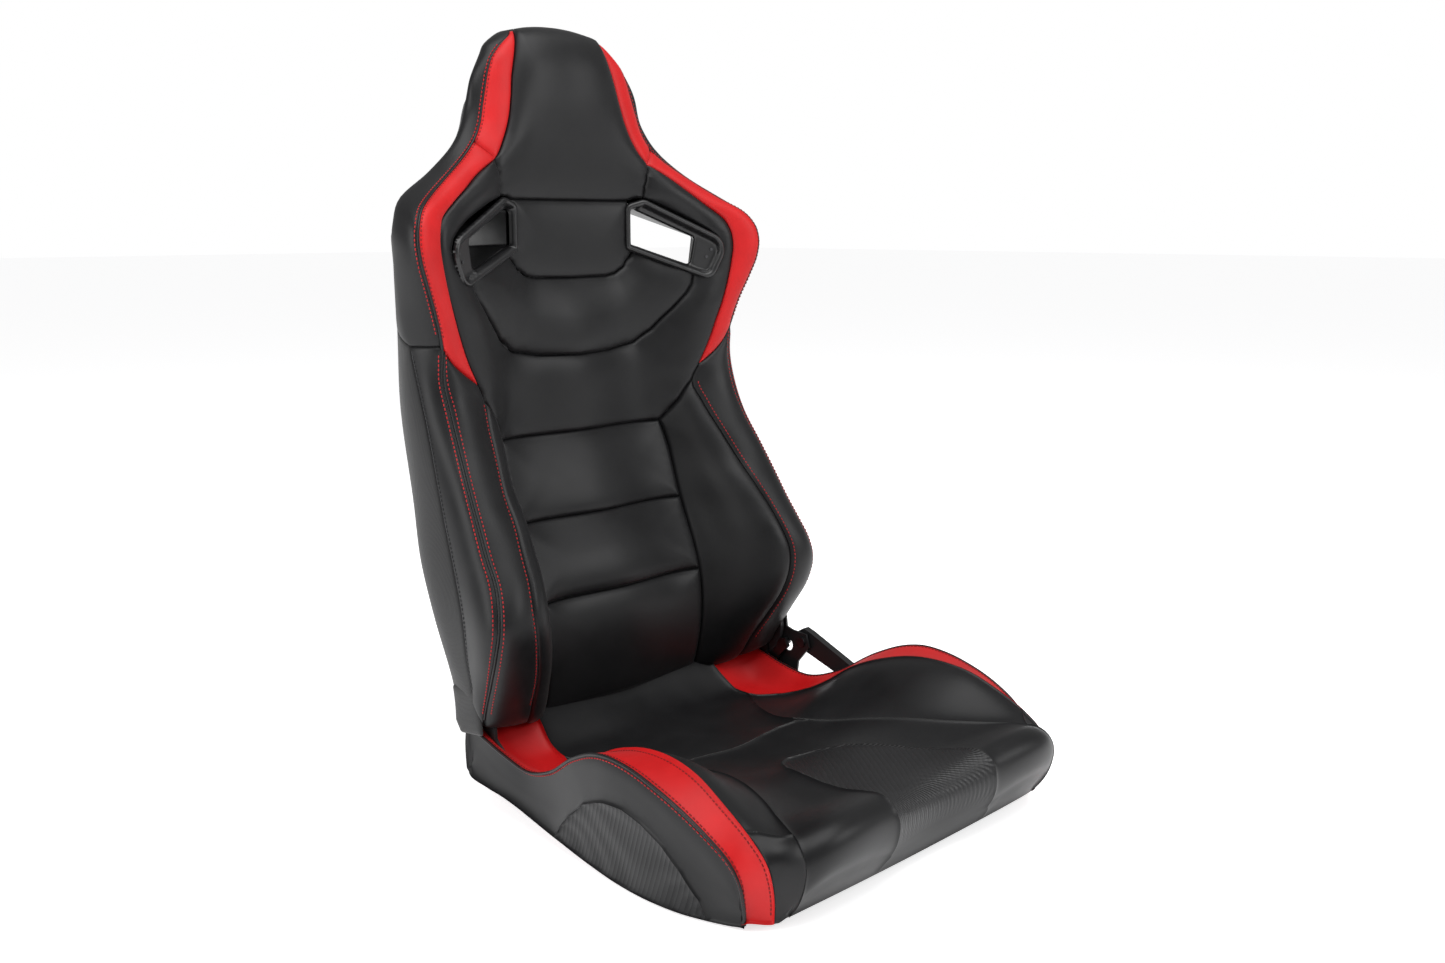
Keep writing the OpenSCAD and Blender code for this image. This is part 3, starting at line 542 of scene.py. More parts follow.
def grain(tree, shader, scale, strength, distance_mm, coarse=0.25):
    """Fine leather grain with a slower unevenness below it, as bump. Returns the coordinates node."""
    place = tree.nodes.new("ShaderNodeTexCoord")
    cells = node(tree, "ShaderNodeTexVoronoi", Scale=scale)
    cells.feature = "DISTANCE_TO_EDGE"
    slow = node(tree, "ShaderNodeTexNoise", Scale=scale / 14, Detail=3.0)
    mix = tree.nodes.new("ShaderNodeMix")
    mix.data_type = "FLOAT"
    mix.inputs[0].default_value = coarse
    bump = node(tree, "ShaderNodeBump", Strength=strength, Distance=distance_mm * MM)
    tree.links.new(place.outputs["Object"], cells.inputs["Vector"])
    tree.links.new(place.outputs["Object"], slow.inputs["Vector"])
    tree.links.new(cells.outputs["Distance"], mix.inputs[2])
    tree.links.new(slow.outputs["Fac"], mix.inputs[3])
    tree.links.new(mix.outputs[0], bump.inputs["Height"])
    tree.links.new(bump.outputs["Normal"], shader.inputs["Normal"])
    return place


def mottle(tree, shader, place, dark, light, rough_low, rough_high, scale):
    """Slow variation of colour and roughness."""
    noise = node(tree, "ShaderNodeTexNoise", Scale=scale, Detail=4.0)
    ramp = tree.nodes.new("ShaderNodeValToRGB")
    ramp.color_ramp.elements[0].color = (*dark, 1)
    ramp.color_ramp.elements[1].color = (*light, 1)
    ramp.color_ramp.elements[0].position = 0.3
    ramp.color_ramp.elements[1].position = 0.75
    rough = node(tree, "ShaderNodeMapRange")
    rough.inputs["To Min"].default_value = rough_low
    rough.inputs["To Max"].default_value = rough_high
    tree.links.new(place.outputs["Object"], noise.inputs["Vector"])
    tree.links.new(noise.outputs["Fac"], ramp.inputs["Fac"])
    tree.links.new(ramp.outputs["Color"], shader.inputs["Base Color"])
    tree.links.new(noise.outputs["Fac"], rough.inputs["Value"])
    tree.links.new(rough.outputs["Result"], shader.inputs["Roughness"])


def leather(name, dark, light, rough_low=0.36, rough_high=0.5):
    """Smooth grained imitation leather."""
    made, tree, shader = new_material(name)
    place = grain(tree, shader, scale=900.0, strength=0.18, distance_mm=0.25)
    mottle(tree, shader, place, dark, light, rough_low, rough_high, scale=26.0)
    shader.inputs["Specular IOR Level"].default_value = 0.28
    shader.inputs["Sheen Weight"].default_value = 0.03
    shader.inputs["Sheen Roughness"].default_value = 0.4
    return made


def plastic(name, colour, rough):
    """Moulded plastic with a fine spark-eroded texture."""
    made, tree, shader = new_material(name)
    place = grain(tree, shader, scale=2200.0, strength=0.12, distance_mm=0.12, coarse=0.5)
    lighter = tuple(c * 1.35 for c in colour)
    mottle(tree, shader, place, colour, lighter, rough - 0.04, rough + 0.06, scale=60.0)
    return made


def metal(name, colour, rough, metallic=1.0):
    """Plated or painted steel, a little uneven."""
    made, tree, shader = new_material(name)
    place = grain(tree, shader, scale=500.0, strength=0.06, distance_mm=0.1, coarse=0.8)
    darker = tuple(c * 0.8 for c in colour)
    mottle(tree, shader, place, darker, colour, rough - 0.06, rough + 0.08, scale=45.0)
    shader.inputs["Metallic"].default_value = metallic
    return made


def fabric(name, dark, light):
    """Woven cloth: two crossed sets of threads."""
    made, tree, shader = new_material(name)
    place = tree.nodes.new("ShaderNodeTexCoord")
    warp = node(tree, "ShaderNodeTexWave", Scale=420.0, Distortion=0.4)
    weft = node(tree, "ShaderNodeTexWave", Scale=420.0, Distortion=0.4)
    weft.bands_direction = "Z"
    top = tree.nodes.new("ShaderNodeMath")
    top.operation = "MAXIMUM"
    bump = node(tree, "ShaderNodeBump", Strength=0.35, Distance=0.3 * MM)
    tree.links.new(place.outputs["Object"], warp.inputs["Vector"])
    tree.links.new(place.outputs["Object"], weft.inputs["Vector"])
    tree.links.new(warp.outputs["Fac"], top.inputs[0])
    tree.links.new(weft.outputs["Fac"], top.inputs[1])
    tree.links.new(top.outputs["Value"], bump.inputs["Height"])
    tree.links.new(bump.outputs["Normal"], shader.inputs["Normal"])
    mottle(tree, shader, place, dark, light, 0.75, 0.9, scale=30.0)
    shader.inputs["Sheen Weight"].default_value = 0.25
    return made


def ribbed(name, direction, pitch_mm, shine, fade=None):
    """Cover embossed with slanting ribs that are broken up like a coarse twill."""
    made, tree, shader = new_material(name)
    place = tree.nodes.new("ShaderNodeTexCoord")
    turn = node(tree, "ShaderNodeMapping")
    turn.inputs["Rotation"].default_value = direction
    rib_scale = math.pi / 10 / (pitch_mm * MM)
    ribs = node(tree, "ShaderNodeTexWave", Scale=rib_scale, Distortion=0.0)
    ribs.wave_profile = "SAW"
    step_scale = math.pi / 10 / (pitch_mm * 0.55 * MM)
    steps = node(tree, "ShaderNodeTexWave", Scale=step_scale, Distortion=0.0)
    steps.bands_direction = "Y"
    mix = tree.nodes.new("ShaderNodeMix")
    mix.data_type = "FLOAT"
    mix.inputs[0].default_value = 0.3
    bump = node(tree, "ShaderNodeBump", Strength=1.0, Distance=1.3 * MM)
    tree.links.new(place.outputs["Object"], turn.inputs["Vector"])
    tree.links.new(turn.outputs["Vector"], ribs.inputs["Vector"])
    tree.links.new(turn.outputs["Vector"], steps.inputs["Vector"])
    tree.links.new(ribs.outputs["Fac"], mix.inputs[2])
    tree.links.new(steps.outputs["Fac"], mix.inputs[3])
    height = mix.outputs[0]
    if fade:
        height = fade_below(tree, place, height, fade)
    tree.links.new(height, bump.inputs["Height"])
    tree.links.new(bump.outputs["Normal"], shader.inputs["Normal"])
    shader.inputs["Specular IOR Level"].default_value = shine
    # Colour follows the rib height: grooves painted darker as painted shade, and rib tops painted
    # lighter as painted highlight
    ramp = tree.nodes.new("ShaderNodeValToRGB")
    ramp.color_ramp.elements[0].color = (0.003, 0.003, 0.0035, 1)
    ramp.color_ramp.elements[1].color = (0.011, 0.011, 0.012, 1)
    rough = node(tree, "ShaderNodeMapRange")
    rough.inputs["To Min"].default_value = 0.6
    rough.inputs["To Max"].default_value = 0.36
    tree.links.new(height, ramp.inputs["Fac"])
    tree.links.new(ramp.outputs["Color"], shader.inputs["Base Color"])
    tree.links.new(height, rough.inputs["Value"])
    tree.links.new(rough.outputs["Result"], shader.inputs["Roughness"])
    return made


def fade_below(tree, place, height, fade):
    """Flattens a pattern between two heights."""
    split = tree.nodes.new("ShaderNodeSeparateXYZ")
    ramp = node(tree, "ShaderNodeMapRange")
    ramp.inputs["From Min"].default_value = fade[0] * MM
    ramp.inputs["From Max"].default_value = fade[1] * MM
    product = tree.nodes.new("ShaderNodeMath")
    product.operation = "MULTIPLY"
    tree.links.new(place.outputs["Object"], split.inputs["Vector"])
    tree.links.new(split.outputs["Z"], ramp.inputs["Value"])
    tree.links.new(ramp.outputs["Result"], product.inputs[0])
    tree.links.new(height, product.inputs[1])
    return product.outputs["Value"]


BLACK = leather("black_leather", (0.0035, 0.0035, 0.0040), (0.0060, 0.0060, 0.0066))
RED = leather("red_leather", (0.42, 0.003, 0.004), (0.50, 0.005, 0.006), 0.44, 0.56)
RED_THREAD = leather("red_thread", (0.30, 0.006, 0.009), (0.40, 0.012, 0.014), 0.6, 0.7)
# The same red thread as on the black parts, painted darker on the red bands as painted shade of the
# stitch grooves and holes
SHADED_BAND_THREAD = leather("band_thread_painted_shade", (0.13, 0.003, 0.004), (0.20, 0.005, 0.006), 0.6, 0.7)
GREY_THREAD = leather("grey_thread", (0.03, 0.03, 0.032), (0.05, 0.05, 0.052), 0.6, 0.7)
PIPING = leather("black_piping", (0.004, 0.004, 0.0045), (0.007, 0.007, 0.0075), 0.34, 0.42)
SEAT_RIBS = ribbed("seat_ribs", (0.0, 0.0, math.radians(40)), 6.0, 0.5, fade=(50, 72))
SIDE_RIBS = ribbed("side_ribs", (math.radians(-20), 0.0, math.radians(90)), 6.0, 0.25)
CLOTH = fabric("rear_cloth", (0.003, 0.003, 0.0034), (0.0055, 0.0055, 0.006))
TRIM = plastic("black_trim", (0.006, 0.006, 0.0065), 0.34)
STEEL = metal("black_steel", (0.02, 0.02, 0.021), 0.36, 0.3)
FRAME_STEEL = metal("frame_paint", (0.03, 0.03, 0.032), 0.45, 0.2)
ZINC = metal("black_zinc", (0.10, 0.10, 0.105), 0.36)
WIRE = metal("wire", (0.30, 0.30, 0.31), 0.4)

# ---- Backrest covers ----

# Seams as (half-width, height along the skin)
WING_SEAM = [
    (186, 622), (180, 601), (172, 588), (154, 567), (127, 540), (103, 523), (60, 516), (0, 514),
]
U_SEAM = [(0, 612), (60, 613), (75, 616), (89, 625), (99, 637), (108, 651)]
BEZEL_LOOP = [
    (117, 714), (142, 705), (171, 691), (202, 675), (216, 664), (221, 652), (213, 632), (201, 619),
]
NECK_SEAM = [(121, 745), (118, 730)]
BOLSTER_TOP = (154, 445)
# Seam between the shoulder band and the bolster below it, as (distance across, height along the skin)
BAND_FOOT = [(205, 508), (221, 524)]


def left_of(pairs):
    """Mirror image of (s, t) pairs, in reverse order."""
    return [(-s, t) for s, t in reversed(pairs)]


def line(s, low, high, step=12.0):
    """Points along one line of a skin."""
    count = max(2, int(abs(high - low) / step) + 1)
    return [(s, float(t)) for t in np.linspace(low, high, count)]


def both(half):
    """Closed outline from its right-hand half."""
    return half + [p for p in left_of(half) if abs(p[0]) > 1e-6]


def centre_panels():
    """Three puffed pads up the middle of the backrest."""
    for name, low, high in (("low", 32, 222), ("mid", 222, 316), ("high", 316, 417)):
        half = [(0, low), (PAD, low)] + line(PAD, low + 8, high) + [(0, high)]
        panel(f"back_centre_{name}", BACK, both(half), BLACK, "backrest", "black_cover",
              puff=9, roll=20, edge=4.5, symmetric=True)


def torso_panels():
    """Large upper panel round the harness openings, the wing below them and the neck pad."""
    wing = BACK.across_x(WING_SEAM)
    bezel = BACK.across_x(BEZEL_LOOP)
    neck = BACK.across_x(NECK_SEAM)
    u_seam = BACK.across_x(U_SEAM)
    upper = (
        [(0, 417), (PAD, 417)] + BACK.across_x([BOLSTER_TOP]) + line(BAND, 471, 761)
        + neck + bezel + wing
    )
    panel("back_upper", BACK, both(upper), BLACK, "backrest", "black_cover",
          puff=6, roll=16, edge=4, symmetric=True)
    wing_half = list(reversed(wing)) + BACK.across_x([(113, 651)]) + list(reversed(u_seam))
    panel("back_wing", BACK, both(wing_half), BLACK, "backrest", "black_cover",
          puff=11, roll=20, edge=4.5, symmetric=True)
    pad_half = u_seam + BACK.across_x([(98, 656), (97, 680), (97, 711), (60, 711), (0, 711)])
    panel("back_neck_pad", BACK, both(pad_half), BLACK, "backrest", "black_cover",
          puff=8, roll=18, edge=4, symmetric=True)


def head_panel():
    """Smooth middle panel of the head."""
    half = (
        BACK.across_x([(0, 711), (60, 711), (97, 711), (107, 714), (117, 714)])
        + list(reversed(BACK.across_x(NECK_SEAM)))
        + line(BAND, 761, 952)
        + [(PAD, 954), (0, 955)]
    )
    panel("head_front", BACK, both(half), BLACK, "backrest", "black_cover",
          puff=7, roll=22, edge=4, symmetric=True)


def shoulder_bands():
    """Red bands from the shoulders up both sides of the head."""
    low = [(BAND, 492)] + BAND_FOOT + [(PIPE, 540)] + line(PIPE, 552, 782) + line(BAND, 761, 504)
    panel("shoulder_band", BACK, low, RED, "backrest", "red_cover",
          puff=3.5, roll=10, edge=2.5, cell=5)
    high = line(PIPE, 782, 944) + line(BAND, 944, 761)
    panel("head_band", BACK, high, RED, "backrest", "red_cover",
          puff=3.5, roll=10, edge=2.5, cell=5)


def bolster_panels():
    """Inner face, front strip and outer gusset of each side bolster."""
    inner = [(PAD, 34)] + line(BAND, 88, 471) + BACK.across_x([BOLSTER_TOP]) + line(PAD, 417, 46)
    panel("bolster_inner", BACK, inner, BLACK, "backrest", "black_cover",
          puff=7, roll=20, edge=4)
    strip = line(PIPE, 100, 528) + [(PIPE, 540)] + BAND_FOOT[::-1] + line(BAND, 492, 88)
    panel("bolster_front", BACK, strip, BLACK, "backrest", "black_cover",
          puff=5, roll=12, edge=2.5, cell=6)
    gusset = [(PIPE, 100)] + line(SIDE, 130, 540) + line(PIPE, 540, 112)
    panel("bolster_side", BACK, gusset, BLACK, "backrest", "black_cover",
          puff=3.5, roll=12, edge=2.2, cell=6)


def outer_panels():
    """Gusset of the shoulders and head, and the cover over the back."""
    upper = (
        [(PIPE, 540), (SIDE, 540)] + line(REAR_SIDE, 556, 956)
        + [(BAND, 956), (BAND, 944)] + line(PIPE, 944, 552)
    )
    panel("shoulder_side", BACK, upper, BLACK, "backrest", "rear_cover",
          puff=2.5, roll=14, edge=2.5)
    lower = line(SIDE, 130, 540) + [(REAR_SIDE, 556), (REAR_SIDE, 540)] + line(REAR_SIDE, 528, 130)
    panel("back_side", BACK, lower, CLOTH, "backrest", "rear_cover", puff=2, roll=20, edge=2)


# Outline as (depth, height, corner radius); the skirt flares outwards from its foot to its top
SKIRT = [(222, 146, 6), (218, 90, 4), (262, 84, 5), (272, 98, 6), (268, 146, 6)]
SKIRT_X, SKIRT_FLARE = 254.5, 5.5
SKIRT_FOOT_Z, SKIRT_FLARE_HEIGHT = 88, 54
SKIRT_THICKNESS = 2.5


def skirt():
    """Skirt that carries the left side down over the plain hinge."""
    flat, faces, d = flat_mesh(rounded(SKIRT), [], cell=5, rim=3)
    rise = np.clip((flat[:, 1] - SKIRT_FOOT_Z) / SKIRT_FLARE_HEIGHT, 0, 1)
    out = SKIRT_X + SKIRT_FLARE * rise ** 2 + swell(d, puff=1.5, roll=8, edge=2)
    points = np.stack([-out, flat[:, 0], flat[:, 1]], axis=1)
    piece = new_object("side_skirt", points, faces[:, ::-1], CLOTH, "backrest", "rear_cover")
    thick = piece.modifiers.new("thickness", "SOLIDIFY")
    thick.thickness = SKIRT_THICKNESS * MM
    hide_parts("back_skirt")


def rear_place(w, t):
    """Skin coordinates of a place on the rear face."""
    return (BACK.find(0, w, t, SIDE, REAR), t)


def harness_exit(grow):
    """Outline of a harness opening on the rear face, grown by a margin."""
    corners = [
        (131 - grow, 659 - grow), (237 + grow, 622 - grow), (243 + grow, 670 + grow),
        (131 - grow, 711 + grow),
    ]
    return [rear_place(w, t) for w, t in corners]


def rear_cover():
    """Cloth cover of the rear face, cut out round the harness openings."""
    side = line(REAR_SIDE, 84, 956)
    other_side = [(2 * REAR - s, t) for s, t in reversed(side)]
    outline = side + [(REAR, 956)] + other_side + [(REAR, 76)]
    exit_right = harness_exit(5)
    exit_left = [(2 * REAR - s, t) for s, t in exit_right]
    panel("back_rear", BACK, outline, CLOTH, "backrest", "rear_cover",
          holes=[exit_right, exit_left], puff=2, roll=30, edge=2, cell=9, symmetric=True)


# ---- Cushion covers ----

# Seams as (half-width, distance forward along the skin)
REAR_CORNER = [(150, -262), (155, -225), (159, -200), (163, -178)]
CORNER_FRONT = [(168, -166), (178, -158), (190, -148), (203, -128)]
SHIELD = [
    (0, 38), (16, 46), (34, 62), (51, 83), (65, 122), (75, 156), (82, 195), (86, 226), (88, 250),
    (88, 280), (88, 300), (90, 322), (96, 340),
]
REAR_U = [(0, -41), (18, -42), (48, -45), (76, -42), (96, -32)]
# Widest half-width searched for those seams, as a distance across the skin
SEAM_REACH = 260
# Seam between the slope and the leaf gusset, as (distance across, distance forward along the skin)
LEAF_TOP = [(160, 224), (205, 207)]
# Top of the ribbed insert as (distance forward along the skin, height)
SIDE_INSERT = [
    (-68, 17), (-55, 34), (-39, 50), (-9, 75), (28, 90), (63, 93), (93, 86), (122, 71), (145, 51),
    (165, 24),
]


def seat_pads():
    """Rear pad, thigh pad and ribbed shield of the cushion."""
    u_seam = SEAT.across_x(REAR_U, 0, SEAM_REACH)
    corner = SEAT.across_x(REAR_CORNER, 0, SEAM_REACH)
    shield = SEAT.across_x(SHIELD, 0, SEAM_REACH)
    rear = (
        [(0, -306), (SEAT_PAD, -306), (SEAT_PAD, -280)] + corner + line(SEAT_PAD, -150, -42)
        + list(reversed(u_seam))
    )
    panel("seat_rear_pad", SEAT, both(rear), BLACK, "base", "black_cover",
          puff=4, roll=22, edge=2, symmetric=True)
    thigh = u_seam + line(SEAT_PAD, -18, 340) + list(reversed(shield))
    panel("seat_thigh_pad", SEAT, both(thigh), BLACK, "base", "black_cover",
          puff=3, roll=16, edge=1.6, symmetric=True)
    panel("seat_shield", SEAT, both(shield), SEAT_RIBS, "base", "black_cover",
          puff=2.5, roll=16, edge=1.6, cell=6, symmetric=True)


def seat_bolsters():
    """Inner slope, leaf gusset, red band and side panel of each cushion bolster."""
    corner = SEAT.across_x(REAR_CORNER, 0, SEAM_REACH)
    corner_front = SEAT.across_x(CORNER_FRONT, 0, SEAM_REACH)
    slope = (
        line(SEAT_PAD, -150, 238) + LEAF_TOP + line(SEAT_BAND_X, 200, -110)
        + list(reversed(corner_front)) + corner[-1:]
    )
    panel("seat_slope", SEAT, slope, BLACK, "base", "black_cover", puff=1.5, roll=20, edge=1.8)
    leaf = line(SEAT_PAD, 238, 340) + line(SEAT_BAND_X, 318, 200) + LEAF_TOP[::-1]
    panel("seat_leaf", SEAT, leaf, BLACK, "base", "black_cover",
          puff=1.5, roll=10, edge=2.2, cell=5)
    red = (
        [(SEAT_PAD, -306), (SEAT_PAD, -280)] + corner + corner_front
        + line(SEAT_BAND_X, -110, 318) + line(SEAT_PIPE, 318, -306)
    )
    panel("seat_band", SEAT, red, RED, "base", "red_cover", puff=3.5, roll=12, edge=2.5, cell=5)


def side_insert_outline():
    """Ribbed half-leaf on the side panel, down to the hem."""
    top = [(SEAT.find(2, z, t, SEAT_PIPE, SEAT_HEM_X), t) for t, z in SIDE_INSERT]
    return top + [(SEAT_HEM_X, 172)] + line(SEAT_HEM_X, 160, -60) + [(SEAT_HEM_X, -70)]


def seat_sides():
    """Side panels with their ribbed inserts."""
    insert = side_insert_outline()
    top = insert[:len(SIDE_INSERT)]
    plain = (
        line(SEAT_PIPE, -306, 318)
        + [(SEAT_HEM_X, 318)] + line(SEAT_HEM_X, 306, 184) + [(SEAT_HEM_X, 172)]
        + list(reversed(top)) + [(SEAT_HEM_X, -70)] + line(SEAT_HEM_X, -84, -306)
    )
    panel("seat_side", SEAT, plain, BLACK, "base", "black_cover", puff=4, roll=18, edge=2.5)
    panel("seat_side_ribs", SEAT, insert, SIDE_RIBS, "base", "black_cover",
          puff=2.5, roll=16, edge=2.5, cell=6)


# ---- Piping and stitching ----


def thread_lift(gap, puff, roll, edge):
    """Height of a cover at the stitch row beside its seam."""
    return swell(np.array([gap]), puff, roll, edge)[0]


def back_seams():
    """Piping and thread on the backrest."""
    band = thread_lift(5.0, puff=3.5, roll=10, edge=2.5)
    front = thread_lift(5.0, puff=5, roll=12, edge=2.5)
    shoulder = thread_lift(6.0, puff=5, roll=18, edge=3)
    for name, low, high, lift, radius in (
        ("back_piping_upper", 538, 926, -0.5, 2.0),
        ("back_piping_lower", 112, 538, -0.6, 1.6),
    ):
        seam_piece("piping", name, BACK, line(PIPE, low, high), 0, lift, PIPING, "backrest",
                   "black_cover", radius=radius)
    for name, path, offset, lift, thread, slot in (
        # The row on the red band uses the thread painted darker as painted shade
        ("band_stitch", line(PIPE, 548, 918), 5, band, SHADED_BAND_THREAD, "red_cover"),
        ("bolster_stitch_outer", line(PIPE, 118, 536), -6, front, RED_THREAD, "red_cover"),
        ("bolster_stitch_front", line(PIPE, 118, 536), 6, front, RED_THREAD, "red_cover"),
        ("bolster_stitch_inner", line(BAND, 118, 470), -5, front, RED_THREAD, "red_cover"),
        ("gusset_stitch", line(SIDE, 146, 534), 5, front, GREY_THREAD, "rear_cover"),
        ("shoulder_stitch", line(PIPE, 552, 916), -6, shoulder, RED_THREAD, "red_cover"),
    ):
        seam_piece("stitch", name, BACK, path, offset, lift, thread, "backrest", slot)


def seat_seams():
    """Piping and thread on the cushion."""
    band = thread_lift(5.0, puff=3.5, roll=12, edge=2.5)
    side = thread_lift(6.0, puff=4, roll=18, edge=2.5)
    seam_piece("piping", "seat_piping", SEAT, line(SEAT_PIPE, -246, 314), 0, -0.4, PIPING,
               "base", "black_cover")
    for name, path, offset, lift, thread in (
        # The rows on the red band use the thread painted darker as painted shade
        ("seat_band_stitch_outer", line(SEAT_PIPE, -244, 312), 5, band, SHADED_BAND_THREAD),
        ("seat_band_stitch_inner", line(SEAT_BAND_X, -60, 312), -5, band, SHADED_BAND_THREAD),
        ("seat_side_stitch", line(SEAT_PIPE, -244, 312), -6, side, RED_THREAD),
    ):
        seam_piece("stitch", name, SEAT, path, offset, lift, thread, "base", "red_cover")


# ---- Harness bezels ----

BEZEL_TURN = math.radians(23)
BEZEL_X, BEZEL_Y = 92.0, 344.0
# Outlines as (distance outwards, height, corner radius)
BEZEL_OUTER = [(0, 653, 7), (126, 609, 18), (154, 664, 24), (28, 721, 16), (0, 713, 11)]
BEZEL_MOUTH = [(9, 661, 4), (96, 632, 6), (103, 669, 6), (9, 709, 6)]
RIM_WIDTH, RIM_HEIGHT = 9.0, 6.0
PLATE_DEPTH = 1.5
BEZEL_THICKNESS = 2.4


def rounded(corners, steps=6):
    """Outline whose corners are arcs of the given radii."""
    out = []
    n = len(corners)
    for i, (x, y, r) in enumerate(corners):
        c = np.array([x, y], float)
        u = np.array(corners[i - 1][:2], float) - c
        v = np.array(corners[(i + 1) % n][:2], float) - c
        u /= np.linalg.norm(u)
        v /= np.linalg.norm(v)
        half = math.acos(float(np.clip(u @ v, -1, 1))) / 2
        centre = c + (u + v) / np.linalg.norm(u + v) * r / math.sin(half)
        a = c + u * r / math.tan(half) - centre
        b = c + v * r / math.tan(half) - centre
        a0 = math.atan2(a[1], a[0])
        turn = (math.atan2(b[1], b[0]) - a0 + math.pi) % (2 * math.pi) - math.pi
        angles = [a0 + turn * k / steps for k in range(steps + 1)]
        out.extend(centre + r * np.array([math.cos(at), math.sin(at)]) for at in angles)
    return [tuple(p) for p in out]


def in_bezel(flat, depth):
    """Places in the seat frame of points on the bezel plane, at a depth behind it."""
    c, s = math.cos(BEZEL_TURN), math.sin(BEZEL_TURN)
    x = BEZEL_X + flat[:, 0] * c + depth * s
    y = BEZEL_Y - flat[:, 0] * s + depth * c
    return np.stack([x, y, flat[:, 1]], axis=1)


def bezel_depth(flat):
    """Rounded rim and sunken plate of a bezel, as depth behind its plane."""
    rim = distance(flat, [resample(rounded(BEZEL_OUTER), 2)])
    mouth = distance(flat, [resample(rounded(BEZEL_MOUTH), 2)])
    across = np.clip(rim / RIM_WIDTH, 0, 1)
    roll = np.sqrt(np.clip(1 - (2 * across - 1) ** 2, 0, 1))
    on_rim = -PLATE_DEPTH - RIM_HEIGHT * roll
    on_plate = PLATE_DEPTH - 2 * PLATE_DEPTH * np.exp(-(rim - RIM_WIDTH) / 1.2)
    depth = np.where(rim < RIM_WIDTH, on_rim, on_plate)
    return depth + 3.0 * np.clip(1 - mouth / 2.5, 0, 1) ** 2


def bezels():
    """Moulded trims round the harness openings."""
    flat, faces, _ = flat_mesh(rounded(BEZEL_OUTER), [rounded(BEZEL_MOUTH)], cell=2.4, rim=1.8)
    points = in_bezel(flat, bezel_depth(flat))
    for suffix, sign in sides(False):
        p, f = (points, faces) if sign > 0 else mirrored(points, faces)
        piece = new_object("harness_trim" + suffix, p, f, TRIM, "backrest", "black_plastic")
        thick = piece.modifiers.new("thickness", "SOLIDIFY")
        thick.thickness = BEZEL_THICKNESS * MM
        thick.offset = -1
        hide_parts("bezel" + suffix)


# ---- Carried-over CAD nodes ----

NODE_MATERIALS = {
    "frame_steel": FRAME_STEEL,
    "black_steel": STEEL,
    "zinc": ZINC,
    "spring_steel": WIRE,
    "black_cover": BLACK,
    "red_cover": RED,
    "rear_cover": CLOTH,
    "black_plastic": TRIM,
}
REPLACED = {
    "seat_rear_pad": ["cushion_pad"],
    "seat_band_right": ["cushion_bolster_right"],
    "seat_band_left": ["cushion_bolster_left"],
    "back_centre_mid": ["back_pad"],
    "bolster_inner_right": ["back_bolster_right"],
    "bolster_inner_left": ["back_bolster_left"],
    "shoulder_band_right": ["shoulder_right"],
    "shoulder_band_left": ["shoulder_left"],
    "head_front": ["head_pad"],
    "back_rear": ["back_shell"],
}


def dress_nodes():
    """Materials on the CAD nodes, and the soft ones replaced by their covers."""
    slots = {row["node"]: row["material_slot"] for row in frame["record"]["subparts"]}
    for name, obj in frame["nodes"].items():
        obj.data.materials.clear()
        obj.data.materials.append(NODE_MATERIALS[slots[name]])
    for piece, nodes in REPLACED.items():
        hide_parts(*nodes)


# ---- Studio ----


CAMERA_PLACE = (-1.181, -1.088, 0.687)
CAMERA_AZIMUTH, CAMERA_ELEVATION = math.radians(-45.6), math.radians(10.41)
CAMERA_LENS, CAMERA_SENSOR = 34.88, 36
FLOOR_HALF = 30.0


def camera():
    """Camera at the height and angle of a photographer to the sitter's front right."""
    look = Vector((
        -math.sin(CAMERA_AZIMUTH) * math.cos(CAMERA_ELEVATION),
        math.cos(CAMERA_AZIMUTH) * math.cos(CAMERA_ELEVATION),
        -math.sin(CAMERA_ELEVATION),
    ))
    data = bpy.data.cameras.new("camera")
    data.lens = CAMERA_LENS
    data.sensor_width = CAMERA_SENSOR
    data.clip_end = 50
    obj = bpy.data.objects.new("camera", data)
    obj.location = CAMERA_PLACE
    obj.rotation_euler = look.to_track_quat("-Z", "Y").to_euler()
    bpy.context.scene.collection.objects.link(obj)
    bpy.context.scene.camera = obj


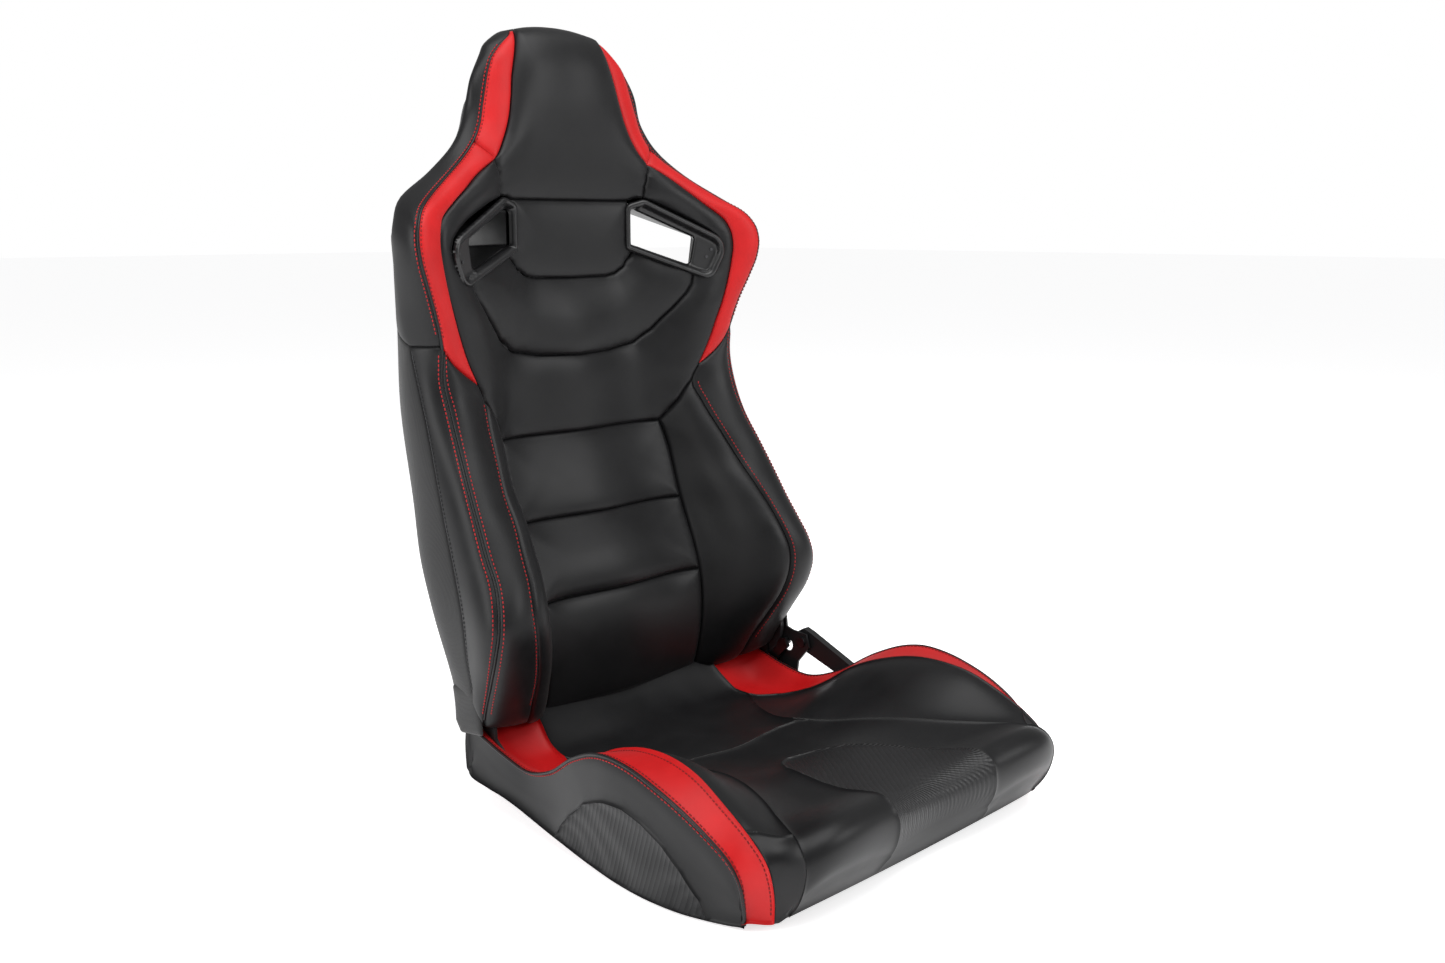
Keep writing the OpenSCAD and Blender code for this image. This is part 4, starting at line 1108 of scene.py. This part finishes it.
def area_light(name, place, target, size, power):
    """Soft rectangular light aimed at a point."""
    data = bpy.data.lights.new(name, "AREA")
    data.shape = "RECTANGLE"
    data.size, data.size_y = size
    data.energy = power
    obj = bpy.data.objects.new(name, data)
    obj.location = place
    obj.rotation_euler = (Vector(target) - Vector(place)).to_track_quat("-Z", "Y").to_euler()
    bpy.context.scene.collection.objects.link(obj)


def studio():
    """Plain pale floor, white surroundings and softboxes."""
    made, _, shader = new_material("floor_white")
    shader.inputs["Base Color"].default_value = (0.93, 0.93, 0.94, 1)
    shader.inputs["Roughness"].default_value = 0.7
    shader.inputs["Emission Color"].default_value = (1, 1, 1, 1)
    shader.inputs["Emission Strength"].default_value = 0.68
    mesh = bpy.data.meshes.new("floor")
    r = FLOOR_HALF
    mesh.from_pydata([(-r, -r, 0), (r, -r, 0), (r, r, 0), (-r, r, 0)], [], [(0, 1, 2, 3)])
    mesh.materials.append(made)
    floor = bpy.data.objects.new("floor", mesh)
    bpy.context.scene.collection.objects.link(floor)
    world = bpy.data.worlds.new("studio")
    world.use_nodes = True
    background = world.node_tree.nodes["Background"]
    background.inputs["Color"].default_value = (1, 1, 1, 1)
    rays = world.node_tree.nodes.new("ShaderNodeLightPath")
    strength = world.node_tree.nodes.new("ShaderNodeMapRange")
    strength.inputs["To Min"].default_value = 0.3
    strength.inputs["To Max"].default_value = 1.0
    world.node_tree.links.new(rays.outputs["Is Camera Ray"], strength.inputs["Value"])
    world.node_tree.links.new(strength.outputs["Result"], background.inputs["Strength"])
    bpy.context.scene.world = world
    area_light("left_box", (-2.3, 0.3, 1.2), (0, 0, 0.45), (1.2, 1.8), 30)
    area_light("top_box", (-0.2, -0.6, 2.7), (0, 0.1, 0.3), (2.6, 2.0), 62)
    area_light("right_box", (1.4, -2.4, 1.7), (0, 0, 0.4), (1.4, 1.4), 30)
    bpy.context.scene.view_settings.view_transform = "Standard"


camera()
studio()
centre_panels()
torso_panels()
head_panel()
shoulder_bands()
bolster_panels()
outer_panels()
rear_cover()
skirt()
seat_pads()
seat_bolsters()
seat_sides()
back_seams()
seat_seams()
bezels()
dress_nodes()
